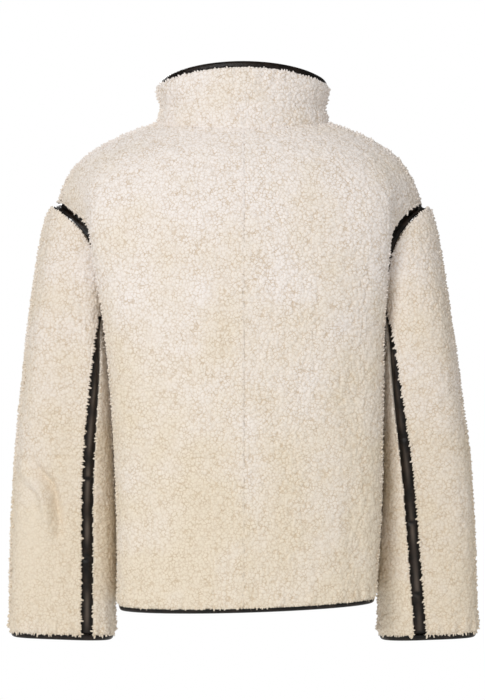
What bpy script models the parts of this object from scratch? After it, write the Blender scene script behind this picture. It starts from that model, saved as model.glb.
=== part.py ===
"""Sherpa jacket in its worn, hollow shape: cream pile cloth, leather bands and bindings, zipped front.

Metres, +Z up. The front faces -Y and the wearer's left is +X. The origin lies between the
shoulders, at the base of the neck. Every cloth piece is a wall: an outer grid of points read from
one smooth surface, and the same grid pushed inwards by the cloth's thickness.
"""

import math
from typing import NamedTuple

import bmesh
import bpy
import numpy as np

LEFT = 1.0
RIGHT = -1.0
SIDES = {"left": LEFT, "right": RIGHT}

# Cloth and trim
WALL = 0.008  # backing and pile together
SEAM_GAP = 0.00015  # each piece keeps this to the seam line, so two pieces lie 0.3 mm apart
SEAM_GAP_INSIDE = 0.0006  # more on the inner face, where the pieces' edges twist between rows
PIECE_GAP = 0.0003
ARMHOLE_GAP_SHARE = 2.6  # the armhole's inner edge twists most
SEAM_NEIGHBOUR = 0.97  # share of a section's run that an edge is drawn back towards
BAND_WIDTH = 0.013
STRIP_WIDTH = 0.0155
STRIP_GAP = 0.0007  # on either side, because the edges beside the strip twist
BAND_SUNK = 0.0032  # leather lies this far below the tips of the pile
BAND_WALL = 0.0024
BAND_INSET = 0.0020
BAND_GAP = 0.0010  # wider than a plain seam, because the edges beside the band twist
BAND_GAP_AT_TIP = 0.0017
BINDING_POINTS = 6
BINDING_PROUD = 0.0004
BINDING_ROUND = 0.6  # exponents under 1 square the binding's section off
NUMERIC_STEP = 1.0e-4

# Armhole: an upright oval seen from the side, its top drawn out to the shoulder tip
ARMHOLE_TOP = -0.097
UNDERARM = -0.256
ARMHOLE_HALF_DEPTH = 0.062
ARMHOLE_SQUARE_TOP = 0.60  # exponents under 1 square the oval off, more at the shoulder than below
ARMHOLE_SQUARE_LOW = 0.85
ARMHOLE_TIP_X = {LEFT: 0.2325, RIGHT: 0.2245}
ARMHOLE_LOW_X = {LEFT: 0.168, RIGHT: 0.170}
ARMHOLE_FLARE = 4.5
ARMHOLE_BEND = 2.2  # how soon, going round from its ends, the armhole's edge turns off the sections
LEAN_PAST_CHORD = 0.6  # how much further than its chord a section leans where it meets the armhole

# Zip
ZIP_OPENING = 0.006  # from the centre front to the leather binding
BINDING_WIDTH = 0.008
HEM_BINDING_WIDTH = 0.006
TAPE_WALL = 0.0016
TAPE_SUNK = 0.003
SLIDER_WIDTH = 0.010
SLIDER_LENGTH = 0.012
SLIDER_DEPTH = 0.0048
SLIDER_BELOW_TOP = 0.016
PIN_RADIUS = 0.0009
PIN_STANDOFF = 0.0024
EAR_WIDTH = 0.0018
EAR_LENGTH = 0.0044
TAB_WIDTH = 0.0056
TAB_LENGTH = 0.030
TAB_THICK = 0.0016
TAB_NECK = 0.0048
TAB_LAP = 0.0005  # the tab's plate runs this far up into its neck
EYE_RADIUS = 0.0020
EYE_WIDTH = 0.0030
EAR_ROOT = 0.0012
EAR_PAST_PIN = 0.0006
PIN_ABOVE_MIDDLE = 0.0025
SLIDER_EDGE = 0.0008  # rounded by this much
TAB_EDGE = 0.0006

COLOURS = {
    "pile": ((0.79, 0.72, 0.62, 1.0), 0.95, 0.0),
    "leather": ((0.035, 0.030, 0.028, 1.0), 0.48, 0.0),
    "tape": ((0.020, 0.019, 0.018, 1.0), 0.90, 0.0),
    "metal": ((0.10, 0.095, 0.09, 1.0), 0.35, 1.0),
}


class Level(NamedTuple):
    """One section of half the body, from the centre line out to the side, armhole or shoulder."""

    z_centre: float
    depth: float  # of the centre line, from the plane y = 0
    fold_left: float  # where the cloth turns to the side, for each side
    fold_right: float
    fold_depth: float
    fold_lean: float  # degrees: 0 runs straight forward or back there, 90 runs outwards
    z_edge: float
    edge_left: float
    edge_right: float


# The armhole levels, from the underarm to the shoulder tip, take their edge from the armhole's oval.
BACK = (
    Level(-0.603, 0.108, 0.153, 0.162, 0.056, 3, -0.597, 0.156, 0.165),
    Level(-0.490, 0.117, 0.1545, 0.170, 0.058, 2, -0.490, 0.157, 0.171),
    Level(-0.370, 0.125, 0.160, 0.172, 0.062, 0, -0.370, 0.160, 0.171),
    Level(-0.256, 0.130, 0.170, 0.1735, 0.066, -2, UNDERARM, 0.168, 0.170),
    Level(-0.226, 0.131, 0.173, 0.1745, 0.071, -4, 0.0, 0.0, 0.0),
    Level(-0.196, 0.130, 0.178, 0.1765, 0.075, -4, 0.0, 0.0, 0.0),
    Level(-0.166, 0.128, 0.184, 0.179, 0.078, -2, 0.0, 0.0, 0.0),
    Level(-0.136, 0.125, 0.1885, 0.182, 0.079, 6, 0.0, 0.0, 0.0),
    Level(-0.106, 0.119, 0.190, 0.183, 0.078, 20, 0.0, 0.0, 0.0),
    Level(-0.078, 0.111, 0.190, 0.184, 0.073, 32, ARMHOLE_TOP, 0.2325, 0.2245),
    Level(-0.058, 0.103, 0.182, 0.177, 0.063, 37, -0.068, 0.2235, 0.2135),
    Level(-0.041, 0.095, 0.160, 0.156, 0.056, 42, -0.038, 0.198, 0.1935),
    Level(-0.026, 0.084, 0.127, 0.126, 0.047, 48, -0.014, 0.154, 0.154),
    Level(-0.012, 0.070, 0.084, 0.084, 0.044, 51, 0.003, 0.108, 0.108),
)
FRONT = (
    Level(-0.603, 0.116, 0.153, 0.162, 0.060, 3, -0.597, 0.156, 0.165),
    Level(-0.490, 0.126, 0.1545, 0.170, 0.064, 2, -0.490, 0.157, 0.171),
    Level(-0.370, 0.134, 0.160, 0.172, 0.068, 0, -0.370, 0.160, 0.171),
    Level(-0.256, 0.139, 0.170, 0.1735, 0.072, -2, UNDERARM, 0.168, 0.170),
    Level(-0.236, 0.139, 0.172, 0.174, 0.076, -4, 0.0, 0.0, 0.0),
    Level(-0.216, 0.138, 0.175, 0.175, 0.079, -4, 0.0, 0.0, 0.0),
    Level(-0.196, 0.136, 0.179, 0.177, 0.081, -2, 0.0, 0.0, 0.0),
    Level(-0.176, 0.133, 0.183, 0.179, 0.081, 6, 0.0, 0.0, 0.0),
    Level(-0.156, 0.129, 0.186, 0.180, 0.079, 20, 0.0, 0.0, 0.0),
    Level(-0.136, 0.123, 0.188, 0.182, 0.073, 32, ARMHOLE_TOP, 0.2325, 0.2245),
    Level(-0.118, 0.115, 0.180, 0.175, 0.063, 37, -0.068, 0.2235, 0.2135),
    Level(-0.101, 0.106, 0.159, 0.155, 0.056, 42, -0.038, 0.198, 0.1935),
    Level(-0.085, 0.094, 0.127, 0.126, 0.048, 48, -0.014, 0.154, 0.154),
    Level(-0.070, 0.080, 0.084, 0.084, 0.050, 51, 0.003, 0.108, 0.108),
)
FIRST_ARMHOLE_LEVEL = 3
LAST_ARMHOLE_LEVEL = 9
NECK_LEVEL = 13
LOWER_ROWS = 9
ARMHOLE_TURNS = (180, 160, 140, 120, 100, 80, 64, 50, 36, 20, 0)  # degrees from the shoulder tip
SHOULDER_ROWS = 6
FOLD_DROP = 0.45  # share of a section's drop, from centre to edge, that lies before its fold
FOLD_AT = 0.78  # share of a section's run, from centre to edge, at which its fold lies
SECTION_COLUMNS = (0.0, 0.13, 0.26, 0.39, 0.50, 0.60, 0.69, 0.75, 0.81, 0.87, 0.93, 1.0)

HEM_SLANT = 0.03  # the hem hangs lower towards the wearer's left by this share of the way across

# Handles of the two curves that make a section, as shares of the runs that they span
CENTRE_HANDLE = 0.60
CENTRE_HANDLE_LESS = 0.22  # shorter by this where the fold leans outwards
FOLD_HANDLE = 0.50
FOLD_HANDLE_MORE = 0.14  # longer by this, of the run across, where the fold leans outwards
FOLD_HANDLE_DROP = 0.35
SIDE_HANDLE = 0.38


class Ring(NamedTuple):
    """One ring of a sleeve below the armhole, for the wearer's left and right arm."""

    z_outer: float
    z_inner: float
    y_centre: float
    x_outer_left: float
    x_inner_left: float
    half_depth_left: float
    back_seam_left: float  # degrees from the outer side, through the back
    x_outer_right: float
    x_inner_right: float
    half_depth_right: float
    back_seam_right: float


RINGS = (
    Ring(-0.262, -0.312, 0.000, 0.2705, 0.1670, 0.063, 130.5, 0.2635, 0.1735, 0.065, 130.5),
    Ring(-0.345, -0.368, -0.003, 0.2800, 0.1630, 0.058, 122.5, 0.2755, 0.1740, 0.060, 123.5),
    Ring(-0.440, -0.448, -0.009, 0.2885, 0.1610, 0.051, 117.5, 0.2875, 0.1745, 0.053, 115.0),
    Ring(-0.545, -0.547, -0.017, 0.2940, 0.1600, 0.042, 116.5, 0.2935, 0.1700, 0.044, 105.5),
    Ring(-0.6465, -0.6515, -0.025, 0.2955, 0.1635, 0.034, 117.5, 0.2970, 0.1720, 0.037, 100.0),
)
RING_CORNERS = 0.14  # a ring is an oval whose corners stand out by this share
BACK_SEAM_AT_ARMHOLE = 140.0
FRONT_SEAM = 220.0
CAP_ROWS = 6
ARM_ROWS = 16

# Sleeve head: its edge is set off from the body's edge, and leaves it outwards and down
HEAD_OFF = 0.0050
HEAD_OFF_AT_TIP = 0.0072  # more at the shoulder tip
HEAD_DROP_AT_TIP = 0.0052
HEAD_OUT = 0.15
HEAD_OUT_AT_TIP = 0.65
HEAD_ROUND = 0.18
HEAD_DOWN_LESS_AT_TIP = 0.40
HEAD_LEAVE = 0.012
HEAD_ARRIVE = 0.46  # as a share of the way from the head to the first ring
HEAD_NEIGHBOUR = 0.05  # in rings: the head's inner edge is drawn back towards this
SEAM_TURN = 0.05  # radians: a seam's edge is drawn back towards the skin this far round


class Fold(NamedTuple):
    """A soft fold across a sleeve: a trough with a lower ridge below it, running at a slant."""

    ring: float  # its middle, in rings from the armhole
    angle: float  # its middle, in degrees from the outer side, through the back
    slant: float  # rings down for each radian round the arm
    reach: float  # degrees round the arm from its middle to where it has died away
    depth: float


FOLDS = {
    LEFT: (
        Fold(3.15, 60, 1.2, 34, 0.0036),
        Fold(1.90, 35, 0.6, 30, 0.0020),
        Fold(4.10, 85, -0.7, 26, 0.0016),
        Fold(2.30, 300, 0.8, 36, 0.0030),
        Fold(3.40, 325, -0.9, 30, 0.0024),
    ),
    RIGHT: (
        Fold(2.50, 45, 0.9, 32, 0.0018),
        Fold(3.70, 60, 0.5, 28, 0.0016),
        Fold(2.80, 305, -0.8, 36, 0.0032),
        Fold(1.90, 280, 0.6, 28, 0.0020),
    ),
}
FOLD_HALF_WIDTH = 0.26  # in rings
RIDGE_SHARE = 0.5  # the ridge's height, as a share of the trough's depth
RIDGE_BELOW = 1.7  # in half widths

# Collar: stands on the neck seam, its top edge falling towards the front
COLLAR_TOP_BACK = (0.074, 0.078)  # y and z at the centre back
COLLAR_TOP_SIDE_X = 0.1065
COLLAR_TOP_SIDE_Z = 0.054
COLLAR_TOP_FRONT_Z = -0.002
COLLAR_TOP_DIP = 1.5  # exponent of the fall from the side to the front or the rise to the back
COLLAR_ROWS = 3
NECK_MITRE = 1.08  # a wall turns through the neck seam's angle, so its mitre is this much longer
NECK_NEIGHBOUR = 0.1  # in levels, or in shares of the collar's height


def hermite(knots, values, at):
    """A smooth curve through values, one for each knot, with slopes averaged from its neighbours."""
    last = len(knots) - 1
    i = min(max(int(np.searchsorted(knots, at, side="right")) - 1, 0), last - 1)

    def slope(k):
        low, high = max(k - 1, 0), min(k + 1, last)
        return (values[high] - values[low]) / (knots[high] - knots[low])

    span = knots[i + 1] - knots[i]
    t = (at - knots[i]) / span
    if t < 0.0:
        return values[i] + slope(i) * (at - knots[i])
    if t > 1.0:
        return values[i + 1] + slope(i + 1) * (at - knots[i + 1])
    h = (2 * t**3 - 3 * t**2 + 1, t**3 - 2 * t**2 + t, 3 * t**2 - 2 * t**3, t**3 - t**2)
    return h[0] * values[i] + h[1] * span * slope(i) + h[2] * values[i + 1] + h[3] * span * slope(i + 1)


def bezier(p0, p1, p2, p3, t):
    s = 1.0 - t
    return s**3 * p0 + 3 * s * s * t * p1 + 3 * s * t * t * p2 + t**3 * p3


def unit(vector):
    return vector / np.linalg.norm(vector)


def point(x, y, z):
    return np.array((x, y, z), float)


# ---------------------------------------------------------------- body


def armhole_edge(side, face, angle):
    """The body's edge at the armhole: angle 0 at the shoulder tip, 180 degrees at the underarm."""
    half_height = (ARMHOLE_TOP - UNDERARM) / 2
    share = ((1 + math.cos(angle)) / 2) ** ARMHOLE_FLARE
    x = ARMHOLE_LOW_X[side] + (ARMHOLE_TIP_X[side] - ARMHOLE_LOW_X[side]) * share
    z = UNDERARM + half_height * (1 + math.cos(angle))
    squareness = ARMHOLE_SQUARE_TOP + (ARMHOLE_SQUARE_LOW - ARMHOLE_SQUARE_TOP) * (1 - math.cos(angle)) / 2
    depth = ARMHOLE_HALF_DEPTH * max(math.sin(angle), 0.0) ** squareness
    return point(x, face * depth, z)


def armhole_level(turn):
    """The level of the section that meets the armhole's edge at an angle from the shoulder tip."""
    return LAST_ARMHOLE_LEVEL - (LAST_ARMHOLE_LEVEL - FIRST_ARMHOLE_LEVEL) * turn / math.pi


def level_at(side, face, level):
    """(centre, fold, edge, lean at the fold, lean at the edge, bend) of the section at a level.

    bend is 0 where the edge is a seam that the front and the back meet in, and 1 in the armhole.
    """
    table = BACK if face > 0 else FRONT
    knots = range(len(table))
    row = hermite(knots, [np.array(entry, float) for entry in table], level)
    fields = Level(*row)
    fold_x = fields.fold_left if side == LEFT else fields.fold_right
    centre = point(0.0, face * fields.depth, fields.z_centre)
    edge_lean = bend = 0.0
    if FIRST_ARMHOLE_LEVEL <= level <= LAST_ARMHOLE_LEVEL:
        share = (LAST_ARMHOLE_LEVEL - level) / (LAST_ARMHOLE_LEVEL - FIRST_ARMHOLE_LEVEL)
        edge = armhole_edge(side, face, math.pi * share)
        chord = edge - point(fold_x, face * fields.fold_depth, 0.0)
        chord_lean = math.degrees(math.atan2(chord[0], -face * chord[1]))
        bend = min(ARMHOLE_BEND * math.sin(math.pi * share), 1.0)
        edge_lean = bend * (chord_lean + LEAN_PAST_CHORD * (chord_lean - fields.fold_lean))
    elif level < FIRST_ARMHOLE_LEVEL:
        lows = range(FIRST_ARMHOLE_LEVEL + 1)
        seams = [np.array((row.edge_left, row.edge_right, row.z_edge)) for row in table[: len(lows)]]
        below = hermite(lows, seams, level)
        edge = point(below[0] if side == LEFT else below[1], 0.0, below[2])
    else:
        highs = range(LAST_ARMHOLE_LEVEL, len(table))
        seams = [np.array((row.edge_left, row.edge_right, row.z_edge)) for row in table[LAST_ARMHOLE_LEVEL:]]
        above = hermite(highs, seams, level)
        edge = point(above[0] if side == LEFT else above[1], 0.0, above[2])
    fold_z = centre[2] + (edge[2] - centre[2]) * FOLD_DROP
    fold = point(fold_x, face * fields.fold_depth, fold_z)
    return centre, fold, edge, math.radians(fields.fold_lean), math.radians(edge_lean), bend


def body_point(side, face, along, level):
    """A point of the body's outer surface. along runs from 0 at the centre line to 1 at the edge."""
    centre, fold, edge, fold_lean, edge_lean, bend = level_at(side, face, level)
    through_fold = point(math.sin(fold_lean), -face * math.cos(fold_lean), 0.0)
    if along <= FOLD_AT:
        run = fold - centre
        slant = math.sin(fold_lean)
        start = centre + point((CENTRE_HANDLE - CENTRE_HANDLE_LESS * slant) * run[0], 0.0, 0.0)
        reach = FOLD_HANDLE * abs(run[1]) + FOLD_HANDLE_MORE * abs(run[0]) * slant
        finish = fold - through_fold * reach - point(0.0, 0.0, FOLD_HANDLE_DROP * run[2])
        placed = bezier(centre, start, finish, fold, along / FOLD_AT)
    else:
        reach = SIDE_HANDLE * np.linalg.norm(edge - fold)
        leave = point(math.sin(edge_lean), -face * math.cos(edge_lean), 0.0)
        rise = point(0.0, 0.0, (edge[2] - fold[2]) / 3)
        placed = bezier(
            fold,
            fold + through_fold * reach + rise,
            edge - leave * reach - rise * bend,
            edge,
            (along - FOLD_AT) / (1 - FOLD_AT),
        )
    near_hem = max(1 - level / FIRST_ARMHOLE_LEVEL, 0.0) ** 2
    return point(side * placed[0], placed[1], placed[2] - HEM_SLANT * near_hem * side * placed[0])


def normal_of(surface, u, v, turn, u_range=(0.0, 1.0), v_range=None):
    """The outward unit normal of a surface, from two small steps that stay inside its range."""

    def step(value, limits):
        low, high = value - NUMERIC_STEP, value + NUMERIC_STEP
        if limits is None:
            return low, high
        return max(low, limits[0]), min(high, limits[1])

    u_low, u_high = step(u, u_range)
    v_low, v_high = step(v, v_range)
    along_u = surface(u_high, v) - surface(u_low, v)
    along_v = surface(u, v_high) - surface(u, v_low)
    return turn * unit(np.cross(along_v, along_u))


def body_surface(side, face):
    """(surface, normal) functions of one quarter of the body."""

    def surface(along, level):
        return body_point(side, face, along, level)

    def normal(along, level):
        if level >= NECK_LEVEL:
            return neck_normal(side, face, along)
        v_range = (0.0, NECK_LEVEL)
        if level <= FIRST_ARMHOLE_LEVEL:
            v_range = (0.0, FIRST_ARMHOLE_LEVEL)
        if level >= LAST_ARMHOLE_LEVEL:
            v_range = (LAST_ARMHOLE_LEVEL, NECK_LEVEL)
        return normal_of(surface, along, level, side * face, v_range=v_range)

    return surface, normal


# ---------------------------------------------------------------- collar


def collar_point(side, face, along, height):
    """A point of the collar's outer surface: height 0 on the neck seam, 1 at the top edge."""
    base = body_point(side, face, along, NECK_LEVEL)
    turn = math.atan2(abs(base[0]) / BACK[NECK_LEVEL].edge_left, face * base[1] / abs(level_depth(face)))
    depth = COLLAR_TOP_BACK[0] if face > 0 else FRONT[NECK_LEVEL].depth
    drop = COLLAR_TOP_BACK[1] if face > 0 else COLLAR_TOP_FRONT_Z
    top = point(
        side * COLLAR_TOP_SIDE_X * math.sin(turn),
        face * depth * math.cos(turn),
        COLLAR_TOP_SIDE_Z + (drop - COLLAR_TOP_SIDE_Z) * math.cos(turn) ** COLLAR_TOP_DIP,
    )
    if along == 0.0:
        top[0] = 0.0
    return base + (top - base) * height


def level_depth(face):
    return (BACK if face > 0 else FRONT)[NECK_LEVEL].depth


def collar_surface(side, face):
    """(surface, normal) functions of one quarter of the collar."""

    def surface(along, height):
        return collar_point(side, face, along, height)

    def normal(along, height):
        if height <= 1.0e-9:
            return neck_normal(side, face, along)
        return normal_of(surface, along, height, side * face, v_range=(0.0, 1.2))

    return surface, normal


def neck_normal(side, face, along):
    """The mitre direction that the body and the collar share along the neck seam."""

    def on_body(share, level):
        return body_point(side, face, share, level)

    def on_collar(share, height):
        return collar_point(side, face, share, height)

    body = normal_of(on_body, along, NECK_LEVEL, side * face, v_range=(0.0, NECK_LEVEL))
    collar = normal_of(on_collar, along, 0.0, side * face, v_range=(0.0, 1.0))
    return unit(body + collar) * NECK_MITRE


# ---------------------------------------------------------------- sleeves


def ring_values(side, w):
    row = Ring(*hermite(range(1, len(RINGS) + 1), [np.array(ring, float) for ring in RINGS], w))
    if side == LEFT:
        chosen = (row.x_outer_left, row.x_inner_left, row.half_depth_left, row.back_seam_left)
    else:
        chosen = (row.x_outer_right, row.x_inner_right, row.half_depth_right, row.back_seam_right)
    return row.z_outer, row.z_inner, row.y_centre, *chosen


def ring_point(side, angle, w):
    z_outer, z_inner, y_centre, x_outer, x_inner, half_depth, _ = ring_values(side, w)
    full = 1 + RING_CORNERS * math.sin(2 * angle) ** 2
    x = (x_outer + x_inner) / 2 + (x_outer - x_inner) / 2 * full * math.cos(angle)
    z = z_outer + (z_inner - z_outer) * (1 - math.cos(angle)) / 2
    return point(x, y_centre + half_depth * full * math.sin(angle), z)


def fold_height(side, angle, w):
    """How far the folds lift the sleeve's skin here. A trough is negative."""
    height = 0.0
    for fold in FOLDS[side]:
        turn = (angle - math.radians(fold.angle) + math.pi) % (2 * math.pi) - math.pi
        across = (w - fold.ring - fold.slant * turn) / FOLD_HALF_WIDTH
        trough = math.exp(-(across**2)) - RIDGE_SHARE * math.exp(-((across - RIDGE_BELOW) ** 2))
        height -= fold.depth * trough * math.exp(-((turn / math.radians(fold.reach)) ** 2))
    return height


def sleeve_head(side, angle):
    """The sleeve's edge at the armhole, set off from the body's edge by the leather band between them."""
    half_turn = angle if angle <= math.pi else 2 * math.pi - angle
    face = 1.0 if angle <= math.pi else -1.0
    edge = armhole_edge(side, face, half_turn)
    top = (1 + math.cos(half_turn)) / 2
    x_off = HEAD_OFF + HEAD_OFF_AT_TIP * top
    return edge + point(x_off, -face * HEAD_OFF * math.sin(half_turn), -HEAD_DROP_AT_TIP * top)


def sleeve_point(side, angle, w):
    """A point of the sleeve: w is 0 at the armhole, 1 at the first ring and 5 at the cuff."""
    if w >= 1.0:
        placed = ring_point(side, angle, w)
    else:
        head = sleeve_head(side, angle % (2 * math.pi))
        first = ring_point(side, angle, 1.0)
        top = (1 + math.cos(angle)) / 2
        outwards = HEAD_OUT + HEAD_OUT_AT_TIP * math.sqrt(top)
        out = unit(point(outwards, HEAD_ROUND * math.sin(angle), HEAD_DOWN_LESS_AT_TIP * top - 1.0))
        down = unit(ring_point(side, angle, 1.0 + NUMERIC_STEP) - first)
        arrive = HEAD_ARRIVE * np.linalg.norm(first - head)
        placed = bezier(head, head + out * HEAD_LEAVE, first - down * arrive, first, w)
    lift = fold_height(side, angle, w) * min(w, 1.0)
    placed = placed + point(math.cos(angle), math.sin(angle), 0.0) * lift
    return point(side * placed[0], placed[1], placed[2])


def back_seam(side, w):
    """The angle of the sleeve's back seam, under the middle of its leather strip."""
    at_rings = ring_values(side, max(w, 1.0))[-1]
    turned = at_rings if w >= 1.0 else BACK_SEAM_AT_ARMHOLE + (at_rings - BACK_SEAM_AT_ARMHOLE) * w
    return math.radians(turned)


def angle_for(side, w, distance):
    """How far the angle turns for a distance along the sleeve's skin at its back seam."""
    middle = back_seam(side, w)
    ahead, behind = (sleeve_point(side, middle + step * SEAM_TURN / 5, w) for step in (1, -1))
    return distance * 2 * SEAM_TURN / 5 / np.linalg.norm(ahead - behind)


# ---------------------------------------------------------------- meshes


def material(name):
    made = bpy.data.materials.get(name)
    if made is None:
        colour, roughness, metallic = COLOURS[name]
        made = bpy.data.materials.new(name)
        made.use_nodes = True
        shader = made.node_tree.nodes["Principled BSDF"]
        shader.inputs["Base Color"].default_value = colour
        shader.inputs["Roughness"].default_value = roughness
        shader.inputs["Metallic"].default_value = metallic
    return made


def new_object(name, bm, finish):
    bmesh.ops.recalc_face_normals(bm, faces=bm.faces)
    mesh = bpy.data.meshes.new(name)
    bm.to_mesh(mesh)
    bm.free()
    mesh.materials.append(material(finish))
    made = bpy.data.objects.new(name, mesh)
    jacket.objects.link(made)
    mesh.shade_smooth()
    mesh.set_sharp_from_angle(angle=math.radians(50))
    return made


def loft(name, sections, finish, closed_run=False):
    """A solid through sections with equal numbers of points, bridged in order and capped at open ends."""
    bm = bmesh.new()
    rings = [[bm.verts.new(placed) for placed in section] for section in sections]
    runs = list(zip(rings, rings[1:] + rings[:1])) if closed_run else list(zip(rings, rings[1:]))
    for here, there in runs:
        for i in range(len(here)):
            j = (i + 1) % len(here)
            bm.faces.new((here[i], here[j], there[j], there[i]))
    if not closed_run:
        for ring in (rings[0], rings[-1]):
            bmesh.ops.contextual_create(bm, geom=ring)
    return new_object(name, bm, finish)


def wall(name, place, normal, us, vs, finish):
    """A wall of cloth: a grid of places, extruded inwards along the normals.

    place(u, v, gap) gives a point of the piece, whose edges keep the gap to the seam lines.
    """
    bm = bmesh.new()
    bmesh.ops.create_grid(bm, x_segments=len(us) - 1, y_segments=len(vs) - 1, size=0.5)
    inner_place = bm.verts.layers.float_vector.new("inner place")
    for vert in bm.verts:
        u = us[round((vert.co.x + 0.5) * (len(us) - 1))]
        v = vs[round((vert.co.y + 0.5) * (len(vs) - 1))]
        vert[inner_place] = place(u, v, SEAM_GAP_INSIDE) - normal(u, v) * WALL
        vert.co = place(u, v, SEAM_GAP)
    inner = bmesh.ops.extrude_face_region(bm, geom=list(bm.faces), use_keep_orig=True)
    for vert in inner["geom"]:
        if isinstance(vert, bmesh.types.BMVert):
            vert.co = vert[inner_place]
    return new_object(name, bm, finish)


def binding(name, edges, width=BINDING_WIDTH, closed_run=False):
    """A rounded leather edge binding. Each edge is (point, outward normal, heading off the cloth)."""
    sections = []
    for placed, out, heading in edges:
        section = []
        for k in range(BINDING_POINTS):
            turn = math.pi * k / (BINDING_POINTS - 1)
            across = (WALL / 2 + BINDING_PROUD) * math.cos(turn) - WALL / 2
            off = PIECE_GAP + (width - PIECE_GAP) * max(math.sin(turn), 0.0) ** BINDING_ROUND
            section.append(placed + out * across + heading * off)
        sections.append(section)
    return loft(name, sections, "leather", closed_run)


def trim_section(first, middle, last):
    """Six points round a leather strip: each of its three lines is (point, outward normal).

    The strip's inner corners are drawn in from its neighbours, whose edges twist between rows.
    """
    outer = [placed - out * BAND_SUNK for placed, out in (first, middle, last)]
    inner = [placed - out * (BAND_SUNK + BAND_WALL) for placed, out in (last, middle, first)]
    for corner in (0, 2):
        inner[corner] = inner[corner] + unit(inner[1] - inner[corner]) * BAND_INSET
    return outer + inner


# ---------------------------------------------------------------- body and collar pieces

ROWS = (
    *np.linspace(0.0, FIRST_ARMHOLE_LEVEL, LOWER_ROWS + 1)[:-1],
    *[armhole_level(math.radians(turn)) for turn in ARMHOLE_TURNS[:-1]],
    *np.linspace(LAST_ARMHOLE_LEVEL, NECK_LEVEL, SHOULDER_ROWS + 1),
)
HEM_LEVEL = HEM_BINDING_WIDTH / (BACK[1].z_centre - BACK[0].z_centre)
COLLAR_EDGE = 1.0 - BINDING_WIDTH / (COLLAR_TOP_SIDE_Z - BACK[NECK_LEVEL].z_edge)
COLLAR_HEIGHTS = tuple(np.linspace(0.0, COLLAR_EDGE, COLLAR_ROWS + 1))
FRONT_CLOTH_EDGE = ZIP_OPENING + BINDING_WIDTH
SLOTS = tuple(range(len(SECTION_COLUMNS)))


def share_at(surface, level, distance):
    """The share of a section's run at which a point lies this far from the centre line."""
    share = 0.01
    for _ in range(4):
        share *= distance / np.linalg.norm(surface(share, level) - surface(0.0, level))
    return share


def towards(start, goal, distance):
    """The point at a real distance from start on the way to goal."""
    return start + unit(goal - start) * distance


def column_share(surface, face, slot, level):
    """The share of a section's run at one of its columns. A front begins at its binding."""
    if slot == 0 and face < 0:
        return share_at(surface, level, FRONT_CLOTH_EDGE)
    return SECTION_COLUMNS[slot]


def build_panel(name, side, face):
    """Half of the back or of the front, kept clear of its seams, its hem binding and the collar."""
    surface, normal = body_surface(side, face)
    levels = [HEM_LEVEL, *ROWS[1:]]

    def place(slot, level, gap):
        placed = surface(column_share(surface, face, slot, level), level)
        if level == NECK_LEVEL:
            below = level - NECK_NEIGHBOUR
            placed = towards(placed, surface(column_share(surface, face, slot, below), below), gap)
        if slot == 0 and face > 0:
            placed = placed + point(side * gap, 0.0, 0.0)
        if slot == SLOTS[-1]:
            at_armhole = FIRST_ARMHOLE_LEVEL <= level <= LAST_ARMHOLE_LEVEL
            kept = max(gap, ARMHOLE_GAP_SHARE * (gap - SEAM_GAP)) if at_armhole else gap
            placed = towards(placed, surface(SEAM_NEIGHBOUR, level), kept)
        return placed

    def out(slot, level):
        return normal(column_share(surface, face, slot, level), level)

    return wall(name, place, out, SLOTS, levels, "pile")


def round_neck():
    """The collar's columns from the left front edge, round the back, to the right front edge."""
    left_front = [(LEFT, -1.0, slot) for slot in SLOTS]
    left_back = [(LEFT, 1.0, slot) for slot in reversed(SLOTS[:-1])]
    right_back = [(RIGHT, 1.0, slot) for slot in SLOTS[1:]]
    right_front = [(RIGHT, -1.0, slot) for slot in reversed(SLOTS[:-1])]
    return left_front + left_back + right_back + right_front


def build_collar():
    columns = round_neck()

    def place(k, height, gap):
        side, face, slot = columns[k]
        surface, _ = collar_surface(side, face)
        body, _ = body_surface(side, face)
        share = column_share(body, face, slot, NECK_LEVEL)
        if height == 0.0:
            return towards(surface(share, 0.0), surface(share, NECK_NEIGHBOUR), gap)
        return surface(share, height)

    def out(k, height):
        side, face, slot = columns[k]
        _, normal = collar_surface(side, face)
        body, _ = body_surface(side, face)
        return normal(column_share(body, face, slot, NECK_LEVEL), height)

    wall("collar", place, out, range(len(columns)), COLLAR_HEIGHTS, "pile")

    edges = []
    for side, face, slot in columns:
        surface, normal = collar_surface(side, face)
        body, _ = body_surface(side, face)
        share = column_share(body, face, slot, NECK_LEVEL)
        placed = surface(share, COLLAR_EDGE)
        edges.append((placed, normal(share, COLLAR_EDGE), unit(surface(share, 1.0) - placed)))
    binding("collar_binding", edges)


def build_hem_binding():
    edges = []
    for side, face, slot in round_neck():
        surface, normal = body_surface(side, face)
        share = column_share(surface, face, slot, HEM_LEVEL)
        placed = surface(share, HEM_LEVEL)
        edges.append((placed, normal(share, HEM_LEVEL), unit(surface(share, 0.0) - placed)))
    binding("hem_binding", edges, HEM_BINDING_WIDTH)


def front_line(side):
    """(surface, normal, height) for each row up the front edge, from the hem to the collar's top."""
    body, body_normal = body_surface(side, -1.0)
    collar, collar_normal = collar_surface(side, -1.0)
    rows = [(body, body_normal, level) for level in ROWS]
    return rows + [(collar, collar_normal, height) for height in (*COLLAR_HEIGHTS[1:], 1.0)]


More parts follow.
